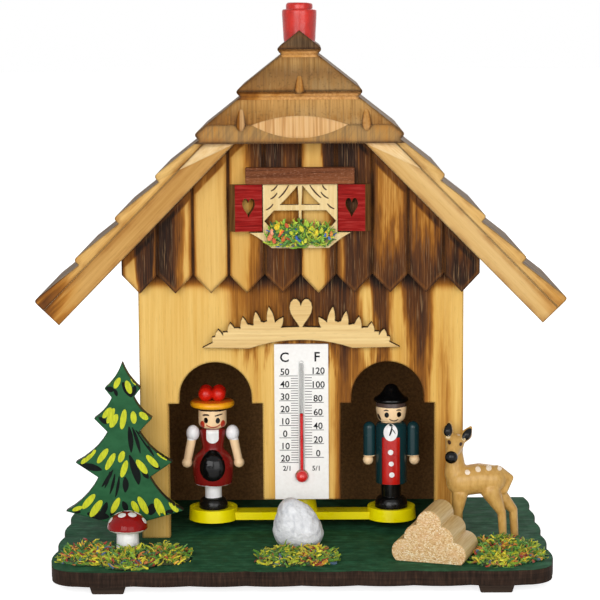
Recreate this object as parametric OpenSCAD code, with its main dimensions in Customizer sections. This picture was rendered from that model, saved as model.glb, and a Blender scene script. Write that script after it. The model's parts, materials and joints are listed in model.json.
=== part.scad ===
// Weather house: a small chalet in which a gut cord turns two figures with the humidity of the air.
// Millimetres. The front faces -Y, +Z is up, and the origin is on the floor under the middle of the base.

/* [Base] */
// Width of the base plate over its scallops
base_w = 163; // [150:1:185]
// Depth of the base in front of the house
apron_d = 43; // [40:1:60]
// Thickness of the base plate
base_t = 5; // [4:0.5:8]
// Radius of the two front corners
base_corner_r = 9; // [6:1:16]
// Nominal pitch of the scallops along the edges
scallop_pitch = 17.3; // [12:0.5:24]
// How far each scallop bulges
scallop_rise = 1.1; // [0.6:0.1:2]
// Height of a foot
foot_h = 3.2; // [2:0.2:8]
// Width of a foot where it meets the plate
foot_top_w = 12; // [10:0.5:16]
// Width of a foot on the floor
foot_floor_w = 10; // [6:0.5:10]
// Depth of a foot, front to back
foot_d = 12; // [8:0.5:16]
// Distance of the feet's middles from the side edges
foot_inset_x = 19.5; // [14:0.5:30]
// Distance of the feet's middles from the front and back edges
foot_inset_y = 9.5; // [9:0.5:16]

/* [House] */
// Width over the side walls
house_w = 108; // [100:1:116]
// Depth over the front wall and the back panel
house_d = 57; // [50:1:66]
// Thickness of the front and side walls
wall_t = 4; // [3:0.5:5]
// Thickness of the back panel
back_t = 3; // [2:0.5:5]
// Height of the side walls at their outer faces
wall_h = 100; // [97:1:112]
// Distance of each doorway's middle from the centre line
door_x = 28.75; // [27.5:0.25:30]
// Width of a doorway below its shoulders
door_w = 31.5; // [30:0.5:33]
// Height of the shoulders
door_step_h = 46; // [45:0.5:47.5]
// Radius of the arched head
door_arch_r = 12.15; // [11.5:0.05:14]
// Height of the arch's centre
door_arch_h = 47.9; // [47.5:0.1:50]
// Height of the gap under the middle post, where the figure bar swings
post_gap_h = 13.1; // [11:0.1:16]

/* [Gable] */
// Width of the gable panel
gable_w = 118; // [110:1:124]
// Thickness of the gable panel
gable_t = 4; // [3:0.5:6]
// Number of pointed boards that the panel shows
gable_boards = 10; // [6:1:14]
// Height of the points at the boards' lower ends
gable_point = 6.3; // [4:0.1:8]
// Depth of the V-groove between two boards
gable_groove = 0.7; // [0.4:0.1:1]

/* [Roof] */
// Slope of the roof in degrees
roof_pitch = 45.5; // [43:0.5:47]
// Thickness of a roof board
roof_board_t = 7; // [5:0.5:9]
// Reach of the boards past the side walls, measured level
eave_reach = 25; // [18:0.5:30]
// Reach of the roof past the front wall
roof_front_reach = 12; // [10:0.5:16]
// Length of a shingle course along the slope
shingle_pitch = 18.9; // [15:0.1:22]
// Thickness of a course at its lower end
shingle_butt = 4.5; // [4:0.1:6]
// Thickness of a course at its upper end
shingle_thin = 2; // [1.2:0.1:3]
// Rounding of a course's lower edge
shingle_nose = 1.4; // [0.8:0.1:2]

/* [Half hip] */
// Slope of the half hip in degrees
hip_pitch = 58; // [55:0.5:62]
// Number of full shingle courses below the hip
hip_course = 4; // [4:1:4]
// Thickness of a hip tier at its lower end
hip_butt = 5; // [4:0.1:6]
// Thickness of a hip tier at its upper end
hip_thin = 2.4; // [1.5:0.1:3]
// Drop of the hip's lower edge under its first lip
hip_lip_drop = 3; // [2:0.1:4]
// Rise of the upright band above the first lip
hip_band_rise = 3; // [2:0.1:4]
// Radius of the gouge that carves the band
hip_gouge_r = 86; // [60:1:110]
// Depth of the gouge's cut
hip_gouge_depth = 1.4; // [0.8:0.1:2]
// Height of the hollow under each hip lip
hip_cove = 3.2; // [2:0.1:5]
// Radius of the nicks that are cut across the hip's lips
hip_nick_r = 1.7; // [1:0.1:2.5]
// Slope of the carved facet's lower edge across a roof board, in degrees
facet_lean = 25; // [15:1:30]
// Height of the carved facet at the top of each roof board
facet_depth = 9; // [6:0.1:11]

/* [Chimney and cord] */
// Distance of the cord's axis behind the front wall's face
pivot_setback = 14; // [13:0.5:18]
// Radius of the chimney knob under its rim
chimney_r = 5.75; // [5:0.05:7]
// Radius of the knob at its foot
chimney_foot_r = 5.4; // [4.6:0.05:5.7]
// Height of the knob from its seat to its rim
chimney_h = 12.5; // [9:0.5:18]
// Radius of the round boss on the knob
boss_r = 4.45; // [3.5:0.05:5]
// Height of the boss
boss_h = 2.2; // [1.5:0.1:4]
// Depth of the knob's seat below the line of the ridge
seat_depth = 7.5; // [6.5:0.1:9]
// Gap round the knob in its seat
seat_gap = 0.5; // [0.3:0.1:1]
// Radius of the spindle under the knob
spindle_r = 2; // [1.6:0.1:2.5]
// Running clearance of the spindle in the ridge beam
running_gap = 0.05; // [0.02:0.01:0.1]
// Half the width of the ridge beam
beam_half_w = 9; // [7:0.5:12]
// Height of the ridge beam's upright sides
beam_side_h = 4; // [2:0.5:8]
// Radius of the clamp that holds the cord under the beam
clamp_r = 3.3; // [2.8:0.1:4]
// Height of the clamp
clamp_h = 6; // [4:0.5:9]
// Radius of the gut cord
cord_r = 0.6; // [0.4:0.05:0.9]
// Glue gap round glued and gripped pieces
glue_gap = 0.05; // [0.02:0.01:0.1]

/* [Figure bar] */
// Distance of each figure from the cord's axis
figure_r = 30.5; // [29.5:0.25:31]
// Clear height of the bar above the base
bar_clear = 3.5; // [1.5:0.1:4.5]
// Width of the bar
bar_w = 7; // [5:0.5:9]
// Height of the bar
bar_h = 2.6; // [2:0.1:3]
// Radius of a cup at its rim
cup_r = 8.15; // [7.5:0.05:8.5]
// Radius of a cup at its foot
cup_foot_r = 8.5; // [7.5:0.05:9]
// Height of a cup
cup_h = 4.1; // [3.8:0.1:5]
// Width of a cup's rim
cup_rim = 1.3; // [1:0.1:2]
// Depth of a cup's recess
cup_recess = 0.4; // [0.3:0.1:1]
// Radius of the hub at its foot
hub_foot_r = 5.5; // [4.6:0.1:6.5]
// Radius of the hub at its top
hub_top_r = 3.6; // [3:0.1:4.5]
// Height of the hub
hub_h = 13; // [10:0.5:16]
// Radius of the ferrule in the hub
ferrule_r = 1.6; // [1.2:0.1:2.2]
// Length of the ferrule
ferrule_h = 8; // [5:0.5:9]

/* [Figures] */
// Radius of the woman's skirt where it is widest
skirt_r = 7; // [6:0.1:7.2]
// Radius of the woman's waist
waist_r = 3.6; // [3:0.1:4.2]
// Radius of the woman's head
woman_head_r = 4.8; // [4.2:0.1:5.2]
// Radius of the woman's hat brim
woman_brim_r = 7.6; // [6.5:0.1:7.8]
// Thickness of the woman's hat brim
woman_brim_h = 2.3; // [1.8:0.1:3.4]
// Radius of a pompom on the woman's hat
pompom_r = 2.5; // [2:0.1:2.7]
// Radius of the woman's puff sleeve
puff_r = 2.3; // [1.8:0.1:2.5]
// Radius of the woman's hands
hand_r = 1.8; // [1.4:0.1:2]
// Radius of the man's coat
coat_r = 5.35; // [4.8:0.05:5.8]
// Radius of the man's head where it is widest
man_head_r = 5.25; // [4.8:0.05:5.6]
// Radius of the man's hat brim
man_brim_r = 5.95; // [5.5:0.05:7]
// Radius of the man's sleeve
sleeve_r = 2.1; // [1.6:0.1:2.4]

/* [Thermometer] */
// Width of the card
card_w = 18; // [14:0.5:22]
// Height of the card
card_h = 52.7; // [46:0.1:53]
// Thickness of the card
card_t = 1.2; // [1:0.1:2]
// Height of the card's lower edge above the post's end
card_lift = 0.4; // [0:0.1:2]
// Radius of the glass tube
tube_r = 0.9; // [0.7:0.05:1.2]
// Radius of the bulb
bulb_r = 2; // [1.6:0.05:2.1]
// Thickness of the glass
glass_t = 0.35; // [0.25:0.05:0.4]
// Height of the bulb above the card's lower edge
bulb_h = 8; // [5:0.5:10]
// Length of the tube above the bulb
tube_h = 38.4; // [30:0.1:40]
// Height of zero degrees Celsius above the card's lower edge
scale_zero_h = 21; // [14:0.5:24]
// Height of ten degrees Celsius on the scale
scale_step = 4.2; // [3.6:0.1:4.6]
// Temperature that the liquid shows, in degrees Celsius
reading = 20; // [-15:1:45]

/* [Sign] */
// Width of the sign over its pointed ends
sign_w = 65.5; // [50:0.5:76]
// Height of the ribbon's arch over its ends
sign_arch = 2.8; // [1.5:0.1:5]
// Height of the ribbon in the middle
ribbon_h = 4.4; // [3:0.1:6]
// Height of the ornament over the ribbon
ornament_h = 9.5; // [7:0.1:10.5]
// Thickness of the sign
sign_t = 3; // [2:0.5:4]
// Height of the sign's middle over the thermometer card
sign_lift = 1.7; // [1:0.1:4]
// Height of the gable's points over the sign
sign_gap = 1.9; // [1:0.1:6]

/* [Window] */
// Height of the window's sill over the grooves' ends
window_rise = 8.9; // [6:0.1:12]
// Width of the fretwork between the shutters
window_w = 24.4; // [20:0.2:28]
// Height of the fretwork over its sill
window_h = 21; // [18:0.5:23]
// Thickness of the fretwork
window_t = 2.5; // [1.5:0.1:4]
// Width of the sill's pointed board
sill_w = 33.6; // [26:0.2:38]
// Width of the muntin between the panes
muntin_w = 1; // [0.8:0.1:1.6]
// Height of the crossbar between the panes
crossbar_h = 1.9; // [1.2:0.1:2.4]
// Width of the lintel
lintel_w = 35.6; // [28:0.2:42]
// Height of the lintel
lintel_h = 5.4; // [3:0.1:7]
// Depth of the lintel
lintel_d = 4; // [3:0.1:6]
// Width of a shutter
shutter_w = 10.4; // [8:0.1:12]
// Height of a shutter
shutter_h = 15.3; // [12:0.1:16]
// Thickness of a shutter
shutter_t = 3; // [2:0.1:4]
// Width of the bevel along a shutter's outer edge
shutter_bevel = 1.4; // [0.8:0.1:2]
// Angle at which the shutters stand open, in degrees
shutter_angle = 12; // [5:1:20]
// Width of the heart cut in a shutter
heart_w = 4.2; // [2.5:0.1:5]
// Height of the heart
heart_h = 6.4; // [4:0.1:8]
// How far the flowers stand out from the window
flower_d = 4; // [3:0.1:5]
// Radius of the middle clump of flowers
flower_r = 4.6; // [3.5:0.1:5.5]

/* [Garden] */
// Height of the fir tree
fir_h = 62.6; // [54:0.5:70]
// Half the width of the fir's lowest branches
fir_half_w = 19.5; // [16:0.5:21]
// Thickness of the fir
fir_t = 3.5; // [2.5:0.5:4]
// Distance of the fir's middle from the centre line
fir_x = 58.5; // [57:0.5:60]
// Distance of the fir's back face in front of the house
fir_gap = 10.2; // [8:0.2:11]
// Width of the fir's trunk
fir_trunk_w = 6; // [4:0.5:8]
// Depth of the trunk's tab in the base
tab_h = 2.5; // [1.5:0.5:3.5]
// Radius of the toadstool's stem
stem_r = 3.9; // [2.5:0.1:4.5]
// Height of the stem under the cap
stem_h = 8; // [6:0.5:12]
// Radius of the cap
cap_r = 6.65; // [5.5:0.05:7.5]
// Height of the cap
cap_h = 6.3; // [5:0.1:8]
// Width of the stone
stone_w = 17; // [12:0.5:20]
// Height of the stone
stone_h = 18; // [14:0.5:22]
// Depth of the stone
stone_d = 12.5; // [9:0.5:15]
// Radius of a log
log_r = 4.1; // [3:0.1:4.4]
// Height of a row of logs
log_row_h = 4.9; // [4:0.1:6]
// Length of the logs
log_l = 17; // [10:0.5:18]
// Turn of the log pile, in degrees
log_turn = 18; // [0:1:25]
// Length of the fawn's trunk between its shoulder and its rump
fawn_trunk = 12; // [10:0.5:15]
// Height of the fawn's trunk
fawn_trunk_h = 21.5; // [17:0.5:24]
// Radius of the fawn's trunk
fawn_trunk_r = 5; // [4:0.1:5.5]
// Height of the fawn's head
fawn_head_h = 33.8; // [30:0.1:37]
// Length of the fawn's ears
fawn_ear = 6.5; // [4:0.5:8]
// Radius of the fawn's hooves
hoof_r = 1.3; // [1:0.1:1.6]
// Height of the moss tufts
moss_h = 4; // [2.5:0.5:5]
// Clear gap of the moss round what stands in it
moss_gap = 0.3; // [0.2:0.1:0.6]

/* [Hidden] */
$fn = 64;

// Colours, as the photo shows them
GREEN_PAINT = "#1f5a3c";
DARK_EDGE = "#3a2a1e";
LIGHT_WOOD = "#d9b06a";
SCORCHED_WOOD = "#b07a3f";
WEATHERED = "#8a6f57";
MAHOGANY = "#7a4630";
RED_PAINT = "#b01c1c";
YELLOW = "#f2d935";
MOSS = "#8fa52c";

// The base and the house
base_d = apron_d + house_d;
base_top = foot_h + base_t;
base_front = -base_d / 2;
base_back = base_d / 2;
house_front = base_front + apron_d;
house_back = base_back;
wall_back = house_front + wall_t;
panel_front = house_back - back_t;
gable_front = house_front - gable_t;

// The roof, in heights above the base
slope = tan(roof_pitch);
under_apex = wall_h + house_w / 2 * slope;
roof_front = house_front - roof_front_reach;
eave_u = (house_w / 2 + eave_reach) / cos(roof_pitch);
board_apex = under_apex + roof_board_t / cos(roof_pitch);
ridge_h = under_apex + (roof_board_t + shingle_butt) / cos(roof_pitch);

// Point of the right-hand roof: u runs down the slope from the ridge and v stands square to it
function roof_pt(u, v) = [u * cos(roof_pitch) + v * sin(roof_pitch),
    under_apex - u * sin(roof_pitch) + v * cos(roof_pitch)];

// Height of the roof's underside at a distance from the centre line
function under_h(x) = under_apex - abs(x) * slope;

// Full courses that fit between the eave and the ridge, and the part course above them
courses = floor((eave_u + (roof_board_t + shingle_thin) * slope) / shingle_pitch);
course_fall = (shingle_butt - shingle_thin) / shingle_pitch;
top_butt_u = eave_u - courses * shingle_pitch;
top_u = -slope * (roof_board_t + shingle_butt - course_fall * top_butt_u) / (1 + slope * course_fall);
top_v = roof_board_t + shingle_butt - course_fall * (top_butt_u - top_u);

// Saw-tooth upper edge of the right-hand shingles, from the eave to the ridge, with rounded lower edges
function butt_edge(u) = let (butt_v = roof_board_t + shingle_butt)
    curve(roof_pt(u, butt_v - shingle_nose), roof_pt(u, butt_v),
        roof_pt(u - shingle_nose, butt_v - shingle_nose * course_fall), 3);
course_edge = concat(
    [for (k = [0 : courses - 1], p = concat(butt_edge(eave_u - k * shingle_pitch),
        [roof_pt(eave_u - (k + 1) * shingle_pitch, roof_board_t + shingle_thin)])) p],
    butt_edge(top_butt_u), [roof_pt(top_u, top_v)]);

// The half hip: w runs up its slope from its foot and t stands square to it
function lip_h(k) = roof_pt(eave_u - k * shingle_pitch, roof_board_t + shingle_butt)[1];
hip_foot_h = lip_h(hip_course) - hip_lip_drop;
function hip_pt(w, t) = [roof_front + w * cos(hip_pitch) - t * sin(hip_pitch),
    hip_foot_h + w * sin(hip_pitch) + t * cos(hip_pitch)];
function lip_w(k) = (lip_h(k) - hip_foot_h - hip_butt * cos(hip_pitch)) / sin(hip_pitch);
hip_tiers = courses - hip_course;
band_top_h = lip_h(hip_course) + hip_band_rise;
band_share = (band_top_h - lip_h(hip_course))
    / (hip_pt(lip_w(hip_course + 1), hip_thin)[1] - lip_h(hip_course));
band_front = hip_pt(lip_w(hip_course), hip_butt)[0]
    + band_share * (hip_pt(lip_w(hip_course + 1), hip_thin)[0] - hip_pt(lip_w(hip_course), hip_butt)[0]);

// The cord's axis and what hangs on it
pivot_y = house_front + pivot_setback;
seat_z = base_top + ridge_h - seat_depth;
knob_gap = 0.1;
beam_foot_h = under_h(beam_half_w) - beam_side_h;
clamp_top_z = base_top + beam_foot_h - knob_gap;
clamp_foot_z = clamp_top_z - clamp_h;
spindle_foot_z = clamp_foot_z + clamp_h / 2;
bar_z = base_top + bar_clear;
hub_top_z = bar_z + hub_h;
figure_z = bar_z + cup_h - cup_recess;

// The front, stacked from the post's end upwards, in heights above the base
card_foot_h = post_gap_h + card_lift;
card_top_h = card_foot_h + card_h;
sign_foot_h = card_top_h + sign_lift - sign_arch;
ribbon_top_h = sign_foot_h + sign_arch + ribbon_h;
tip_h = ribbon_top_h + ornament_h + sign_gap;
valley_h = tip_h + gable_point;
sill_h = valley_h + window_rise;
window_top_h = sill_h + window_h;
tube_y = house_front - card_t - tube_r - glue_gap;
bulb_z = base_top + card_foot_h + bulb_h;
liquid_z = base_top + card_foot_h + scale_zero_h + reading / 10 * scale_step;

// Places in the garden: by the side edges, and in front of the house
fir_back = house_front - fir_gap;
toadstool = [-base_w / 2 + 24.5, fir_back - fir_t - cap_r - moss_gap];
stone_at = [-1.2, house_front - 17];
pile_at = [base_w / 2 - 38.3, house_front - 25.5];
fawn_at = [base_w / 2 - 30, house_front - 9];
moss_x = base_w / 2 - 13;

// Stands an outline of [x, height above the base] upright, from y back to y + t
module upright(y, t) translate([0, y + t, base_top]) rotate([90, 0, 0]) linear_extrude(t) children();

// Extrudes an outline of [y, height above the base] along X, w wide and centred
module across(w) translate([0, 0, base_top]) rotate([90, 0, 90]) linear_extrude(w, center = true) children();

// Turns an outline of [radius, height] whose list leaves out the axis
module turned(points) rotate_extrude()
    polygon(concat([[0, points[0][1]]], points, [[0, points[len(points) - 1][1]]]));

// Points of a quarter or other arc: centre c, radii [rx, ry], from angle a to angle b
function arc(c, r, a, b, n = 8) = [for (i = [0 : n]) let (q = a + (b - a) * i / n)
    c + [r[0] * cos(q), r[1] * sin(q)]];

// Points of a quadratic curve from p to q, drawn towards c
function curve(p, c, q, n = 5) = [for (i = [0 : n]) let (s = i / n)
    (1 - s) * (1 - s) * p + 2 * s * (1 - s) * c + s * s * q];

// Outline of a shape that is the same on both sides, from the points of its right-hand side
function both_sides(right) = concat(right,
    [for (i = [len(right) - 1 : -1 : 0]) if (right[i][0] > 0.001) [-right[i][0], right[i][1]]]);

// Heart, w wide and h high, whose point is at the origin
module heart(w, h) polygon([for (a = [0 : 15 : 345])
    [w / 2 * pow(sin(a), 3), h / 29 * (17 + 13 * cos(a) - 5 * cos(2 * a) - 2 * cos(3 * a) - cos(4 * a))]]);

// Base plate with scalloped front and sides
function scallops(length) = let (n = max(1, round(length / scallop_pitch)), steps = 6)
    [for (i = [0 : n * steps]) [i / (n * steps), sin(180 * (i % steps) / steps)]];

front_run = base_w - 2 * scallop_rise - 2 * base_corner_r;
corner_y = base_front + scallop_rise + base_corner_r;
side_run = base_back - corner_y;
side_edge = [for (p = scallops(side_run))
    [base_w / 2 - scallop_rise + scallop_rise * p[1], corner_y + side_run * p[0]]];
base_right = concat(arc([front_run / 2, corner_y], [base_corner_r, base_corner_r], -90, 0), side_edge);

module base_plate() color(GREEN_PAINT) difference() {
    translate([0, 0, foot_h]) linear_extrude(base_t) polygon(concat(
        [for (p = scallops(front_run))
            [front_run * (p[0] - 0.5), base_front + scallop_rise - scallop_rise * p[1]]],
        both_sides(base_right)));
    translate([-fir_x, fir_back - fir_t / 2, base_top])
        cube([fir_trunk_w + 2 * glue_gap, fir_t + 2 * glue_gap, 2 * (tab_h + glue_gap)], center = true);
}

module feet() color(DARK_EDGE)
    for (x = [-1, 1], y = [-1, 1])
        translate([x * (base_w / 2 - foot_inset_x), y * (base_d / 2 - foot_inset_y) + foot_d / 2, 0])
            rotate([90, 0, 0]) linear_extrude(foot_d)
                polygon([[-foot_floor_w / 2, 0], [foot_floor_w / 2, 0],
                    [foot_top_w / 2, foot_h], [-foot_top_w / 2, foot_h]]);

// Outline of a house end wall
module end_outline() polygon([[-house_w / 2, 0], [house_w / 2, 0],
    [house_w / 2, wall_h], [0, under_apex], [-house_w / 2, wall_h]]);

module doorways() {
    for (side = [-1, 1]) translate([side * door_x, 0]) {
        translate([-door_w / 2, -1]) square([door_w, door_step_h + 1]);
        translate([-door_arch_r, door_step_h - 1]) square([2 * door_arch_r, door_arch_h - door_step_h + 1]);
        translate([0, door_arch_h]) circle(door_arch_r);
    }
    translate([-door_x, -1]) square([2 * door_x, post_gap_h + 1]);
}

module front_wall() color(LIGHT_WOOD) difference() {
    upright(house_front, wall_t) difference() {
        end_outline();
        doorways();
    }
    hip_cutter();
}

module side_wall() upright(wall_back, panel_front - wall_back)
    polygon([[house_w / 2 - wall_t, 0], [house_w / 2, 0],
        [house_w / 2, wall_h], [house_w / 2 - wall_t, under_h(house_w / 2 - wall_t)]]);

module left_wall() color(SCORCHED_WOOD) mirror([1, 0, 0]) side_wall();

module right_wall() color(SCORCHED_WOOD) side_wall();

module back_panel() color(DARK_EDGE) upright(panel_front, back_t) end_outline();

// Panel of pointed boards: odd corners of the lower edge are points and even ones are grooves
module gable_panel() color(LIGHT_WOOD) difference() {
    pitch = gable_w / gable_boards;
    intersection() {
        upright(gable_front, gable_t) polygon(concat(
            [for (i = [0 : 2 * gable_boards]) [-gable_w / 2 + i * pitch / 2, i % 2 == 1 ? tip_h : valley_h]],
            [[gable_w / 2, under_apex], [-gable_w / 2, under_apex]]));
        upright(gable_front - gable_t, 3 * gable_t)
            polygon([[0, under_apex], [under_apex / slope, 0], [-under_apex / slope, 0]]);
    }
    for (i = [1 : gable_boards - 1])
        translate([-gable_w / 2 + i * pitch, gable_front, base_top + valley_h - 1])
            linear_extrude(under_apex)
                polygon([[-gable_groove, -0.01], [gable_groove, -0.01], [0, gable_groove]]);
    hip_cutter();
}

// Everything over the plane on which the hip block sits
module hip_cutter() translate([0, roof_front, base_top + hip_foot_h]) rotate([hip_pitch, 0, 0])
    translate([-house_w, -house_d, 0]) cube([2 * house_w, 3 * house_d, house_d]);

// Seat of the knob, and the way for the spindle through the roof
module knob_pocket() translate([0, pivot_y, 0]) {
    translate([0, 0, seat_z]) cylinder(r = chimney_r + seat_gap, h = seat_depth + 10);
    translate([0, 0, base_top + under_apex - 20]) cylinder(r = spindle_r + seat_gap, h = ridge_h);
}

module board_section()
    polygon([[0, under_apex], roof_pt(eave_u, 0), roof_pt(eave_u, roof_board_t), [0, board_apex]]);

module shingle_section() polygon(concat([[0, board_apex], roof_pt(eave_u, roof_board_t)], course_edge));

// Facet carved at the upper front end of a roof board, where it runs under the hip
module board_facet() translate([(under_apex - hip_foot_h) / slope, roof_front, base_top + hip_foot_h])
    rotate([0, facet_lean, 0]) rotate([hip_pitch, 0, 0])
        translate([-house_w / 2, -facet_depth, 0]) cube([house_w, 2 * facet_depth, facet_depth]);

module roof_board() difference() {
    upright(roof_front, house_back - roof_front) board_section();
    hip_cutter();
    board_facet();
    knob_pocket();
}

module shingle_layer() difference() {
    upright(roof_front, house_back - roof_front) shingle_section();
    hip_cutter();
    board_facet();
    knob_pocket();
}

module roof_board_left() color(LIGHT_WOOD) mirror([1, 0, 0]) roof_board();

module roof_board_right() color(LIGHT_WOOD) roof_board();

module shingles_left() color(WEATHERED) mirror([1, 0, 0]) shingle_layer();

module shingles_right() color(WEATHERED) shingle_layer();

// Hollow under lip k of the hip, from the tier below out to the lip
function cove_edge(k) = let (w = lip_w(k))
    curve(hip_pt(w - hip_cove, hip_thin + hip_cove * (hip_butt - hip_thin) / (w - lip_w(k - 1))),
        hip_pt(w, hip_thin), hip_pt(w, hip_butt), 4);

// Nick across an edge of the hip at [y, height], cut along the slope
module hip_nick(x, edge) translate([x, edge[0], base_top + edge[1]]) rotate([hip_pitch - 90, 0, 0])
    translate([0, -hip_nick_r * 0.35, 0]) cylinder(r = hip_nick_r, h = hip_cove * 4, center = true);

// Half hip: its tiers seen from the side, cut by the roof's own saw-tooth outline
module hip_block() color(SCORCHED_WOOD) difference() {
    intersection() {
        across(house_w) polygon(concat(
            [hip_pt(0, 0), [band_front, hip_foot_h], [band_front, band_top_h]],
            [for (k = [1 : hip_tiers], p = cove_edge(hip_course + k)) p],
            [hip_pt(lip_w(hip_course + hip_tiers + 1), hip_thin),
                hip_pt(lip_w(hip_course + hip_tiers + 1), 0)]));
        upright(band_front - 1, house_d) polygon(both_sides(course_edge));
    }
    translate([0, band_front, base_top + band_top_h]) rotate([(hip_pitch - 90) * 0.6, 0, 0])
        translate([0, hip_gouge_depth - hip_gouge_r, 0])
            cylinder(r = hip_gouge_r, h = house_d, center = true, $fn = 128);
    hip_nick(0, hip_pt(lip_w(hip_course + 1), hip_butt));
    for (x = [-0.175, 0.2]) hip_nick(x * house_w, [band_front, band_top_h]);
    knob_pocket();
}

module ridge_beam() color(SCORCHED_WOOD) difference() {
    upright(wall_back, panel_front - wall_back) polygon([[0, under_apex], [beam_half_w, under_h(beam_half_w)],
        [beam_half_w, beam_foot_h], [-beam_half_w, beam_foot_h], [-beam_half_w, under_h(beam_half_w)]]);
    translate([0, pivot_y, base_top + beam_foot_h - 1]) cylinder(r = spindle_r + running_gap, h = under_apex);
}

// The knob is glued on the spindle, which turns in the ridge beam
module chimney_knob() color(RED_PAINT) translate([0, pivot_y, seat_z + knob_gap]) difference() {
    turned(concat(
        curve([chimney_foot_r * 0.85, 0], [chimney_foot_r, chimney_h * 0.1],
            [chimney_foot_r, chimney_h * 0.35]),
        [[chimney_r, chimney_h - 2], [chimney_r, chimney_h - 0.4],
            [chimney_r - 0.4, chimney_h], [boss_r, chimney_h]],
        arc([boss_r - 1, chimney_h + boss_h - 1], [1, 1], 0, 90)));
    translate([0, 0, -1]) cylinder(r = spindle_r + glue_gap, h = 1 + chimney_h / 2 + glue_gap);
}

module spindle() color(LIGHT_WOOD) translate([0, pivot_y, spindle_foot_z])
    cylinder(r = spindle_r, h = seat_z + knob_gap + chimney_h / 2 - spindle_foot_z);

// Collar under the beam: it keeps the spindle in and grips the cord
module cord_clamp() color("#b08d3c") translate([0, pivot_y, clamp_foot_z]) difference() {
    cylinder(r = clamp_r, h = clamp_h);
    translate([0, 0, clamp_h / 2 - glue_gap]) cylinder(r = spindle_r + glue_gap, h = clamp_h);
    translate([0, 0, -1]) cylinder(r = cord_r + running_gap, h = clamp_h);
}

module gut_cord() color("#c9a96a") translate([0, pivot_y, hub_top_z - ferrule_h / 2])
    cylinder(r = cord_r, h = clamp_foot_z + clamp_h / 2 - 1 - hub_top_z + ferrule_h / 2);

module cord_ferrule() color("#b08d3c") translate([0, pivot_y, hub_top_z - ferrule_h / 2 - 1]) difference() {
    cylinder(r = ferrule_r, h = ferrule_h);
    translate([0, 0, 1]) cylinder(r = cord_r + glue_gap, h = ferrule_h);
}

// Bar that hangs on the cord: a cup for each figure and a hub for the ferrule
module figure_bar() color(YELLOW) translate([0, pivot_y, bar_z]) difference() {
    union() {
        translate([-figure_r, -bar_w / 2, 0]) cube([2 * figure_r, bar_w, bar_h]);
        for (side = [-1, 1]) translate([side * figure_r, 0, 0]) difference() {
            cylinder(r1 = cup_foot_r, r2 = cup_r, h = cup_h);
            translate([0, 0, cup_h - cup_recess]) cylinder(r = cup_r - cup_rim, h = cup_h);
        }
        cylinder(r1 = hub_foot_r, r2 = hub_top_r, h = hub_h);
    }
    translate([0, 0, hub_h - ferrule_h / 2 - 1 - glue_gap]) cylinder(r = ferrule_r + glue_gap, h = ferrule_h);
}

// Places a figure's pieces in its cup
module in_cup(side) translate([side * figure_r, pivot_y, figure_z]) children();

// Heights of the figures' turned sections, from the cup's floor
woman_skirt_h = 8.6;
woman_waist_h = 21.4;
woman_neck_h = 28.1;
woman_head_top = 35.2;
man_coat_h = 8.5;
man_neck_h = 30;
man_head_top = 36.6;

module woman_body() color("#8e1f24") in_cup(-1) turned(concat(
    [[4.95, 0], [4.95, 1]], arc([3.1, 1], [1.85, 2.6], 0, 90),
    [[2.85, 3.8], [2.85, woman_skirt_h], [skirt_r - 0.7, woman_skirt_h]],
    curve([skirt_r - 0.5, woman_skirt_h + 0.3], [skirt_r + 0.9, 16.9], [skirt_r - 1.6, 19]),
    curve([skirt_r - 2, 19.4], [waist_r, 20.4], [waist_r, woman_waist_h]),
    [[4.4, 26.7]], arc([3, 26.7], [1.4, 1.2], 0, 90, 4),
    curve([3, woman_neck_h], [woman_head_r - 0.2, woman_neck_h], [woman_head_r, woman_neck_h + 1.6]),
    [[woman_head_r, woman_head_top - 0.6], [woman_head_r - 0.6, woman_head_top]]));

// Heights of the shoulders and hands, from the cup's floor
woman_shoulder_h = 26;
woman_hand_h = 15.7;
man_shoulder_h = 27.6;
man_hand_h = 16.4;

// Puff sleeve, bare arm and hand, clear of the skirt
module woman_arm() {
    shoulder_x = 4.4 + puff_r + glue_gap;
    hand_x = skirt_r + hand_r + 2 * glue_gap;
    drop = woman_shoulder_h - woman_hand_h;
    translate([shoulder_x, 0, woman_shoulder_h]) {
        turned(arc([0, 0], [puff_r, puff_r * 1.2], -88, 88, 12));
        rotate([0, 180 - atan((hand_x - shoulder_x) / drop), 0])
            cylinder(r1 = puff_r * 0.7, r2 = hand_r * 0.78, h = drop);
    }
    translate([hand_x, 0, woman_hand_h]) sphere(hand_r);
}

module woman_arms() color("#f2c9a0") in_cup(-1) for (side = [0, 1]) mirror([side, 0, 0]) woman_arm();

module woman_hat_brim() color("#e8902e") in_cup(-1) translate([0, 0, woman_head_top]) turned(concat(
    [[woman_head_r - 0.6, 0]],
    arc([woman_brim_r - woman_brim_h / 2, woman_brim_h / 2], woman_brim_h / 2 * [1, 1], -90, 90),
    [[0.1, woman_brim_h]]));

// Four balls in a square, cut flat where they sit on the brim
module woman_pompoms() color(RED_PAINT) in_cup(-1)
    translate([0, 0, woman_head_top + woman_brim_h + glue_gap]) intersection() {
        for (a = [45 : 90 : 315]) rotate(a) translate([pompom_r * 1.22, 0, pompom_r * 0.94]) sphere(pompom_r);
        translate([-10, -10, 0]) cube(20);
    }

module man_body() color("#16403a") in_cup(1) turned(concat(
    [[5.6, 0], [5.6, 1]], arc([3.7, 1], [1.9, 2.8], 0, 90),
    [[3.45, 3.9], [3.45, man_coat_h], [coat_r - 0.2, man_coat_h], [coat_r, man_coat_h + 0.4], [coat_r, 28]],
    arc([coat_r - 1.7, 28], [1.7, 1.7], 0, 90, 5),
    curve([3.4, man_neck_h], [man_head_r - 0.6, man_neck_h], [man_head_r - 0.3, man_neck_h + 2.2]),
    [[man_head_r, man_neck_h + 4.2], [man_head_r - 0.2, man_head_top]]));

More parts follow.
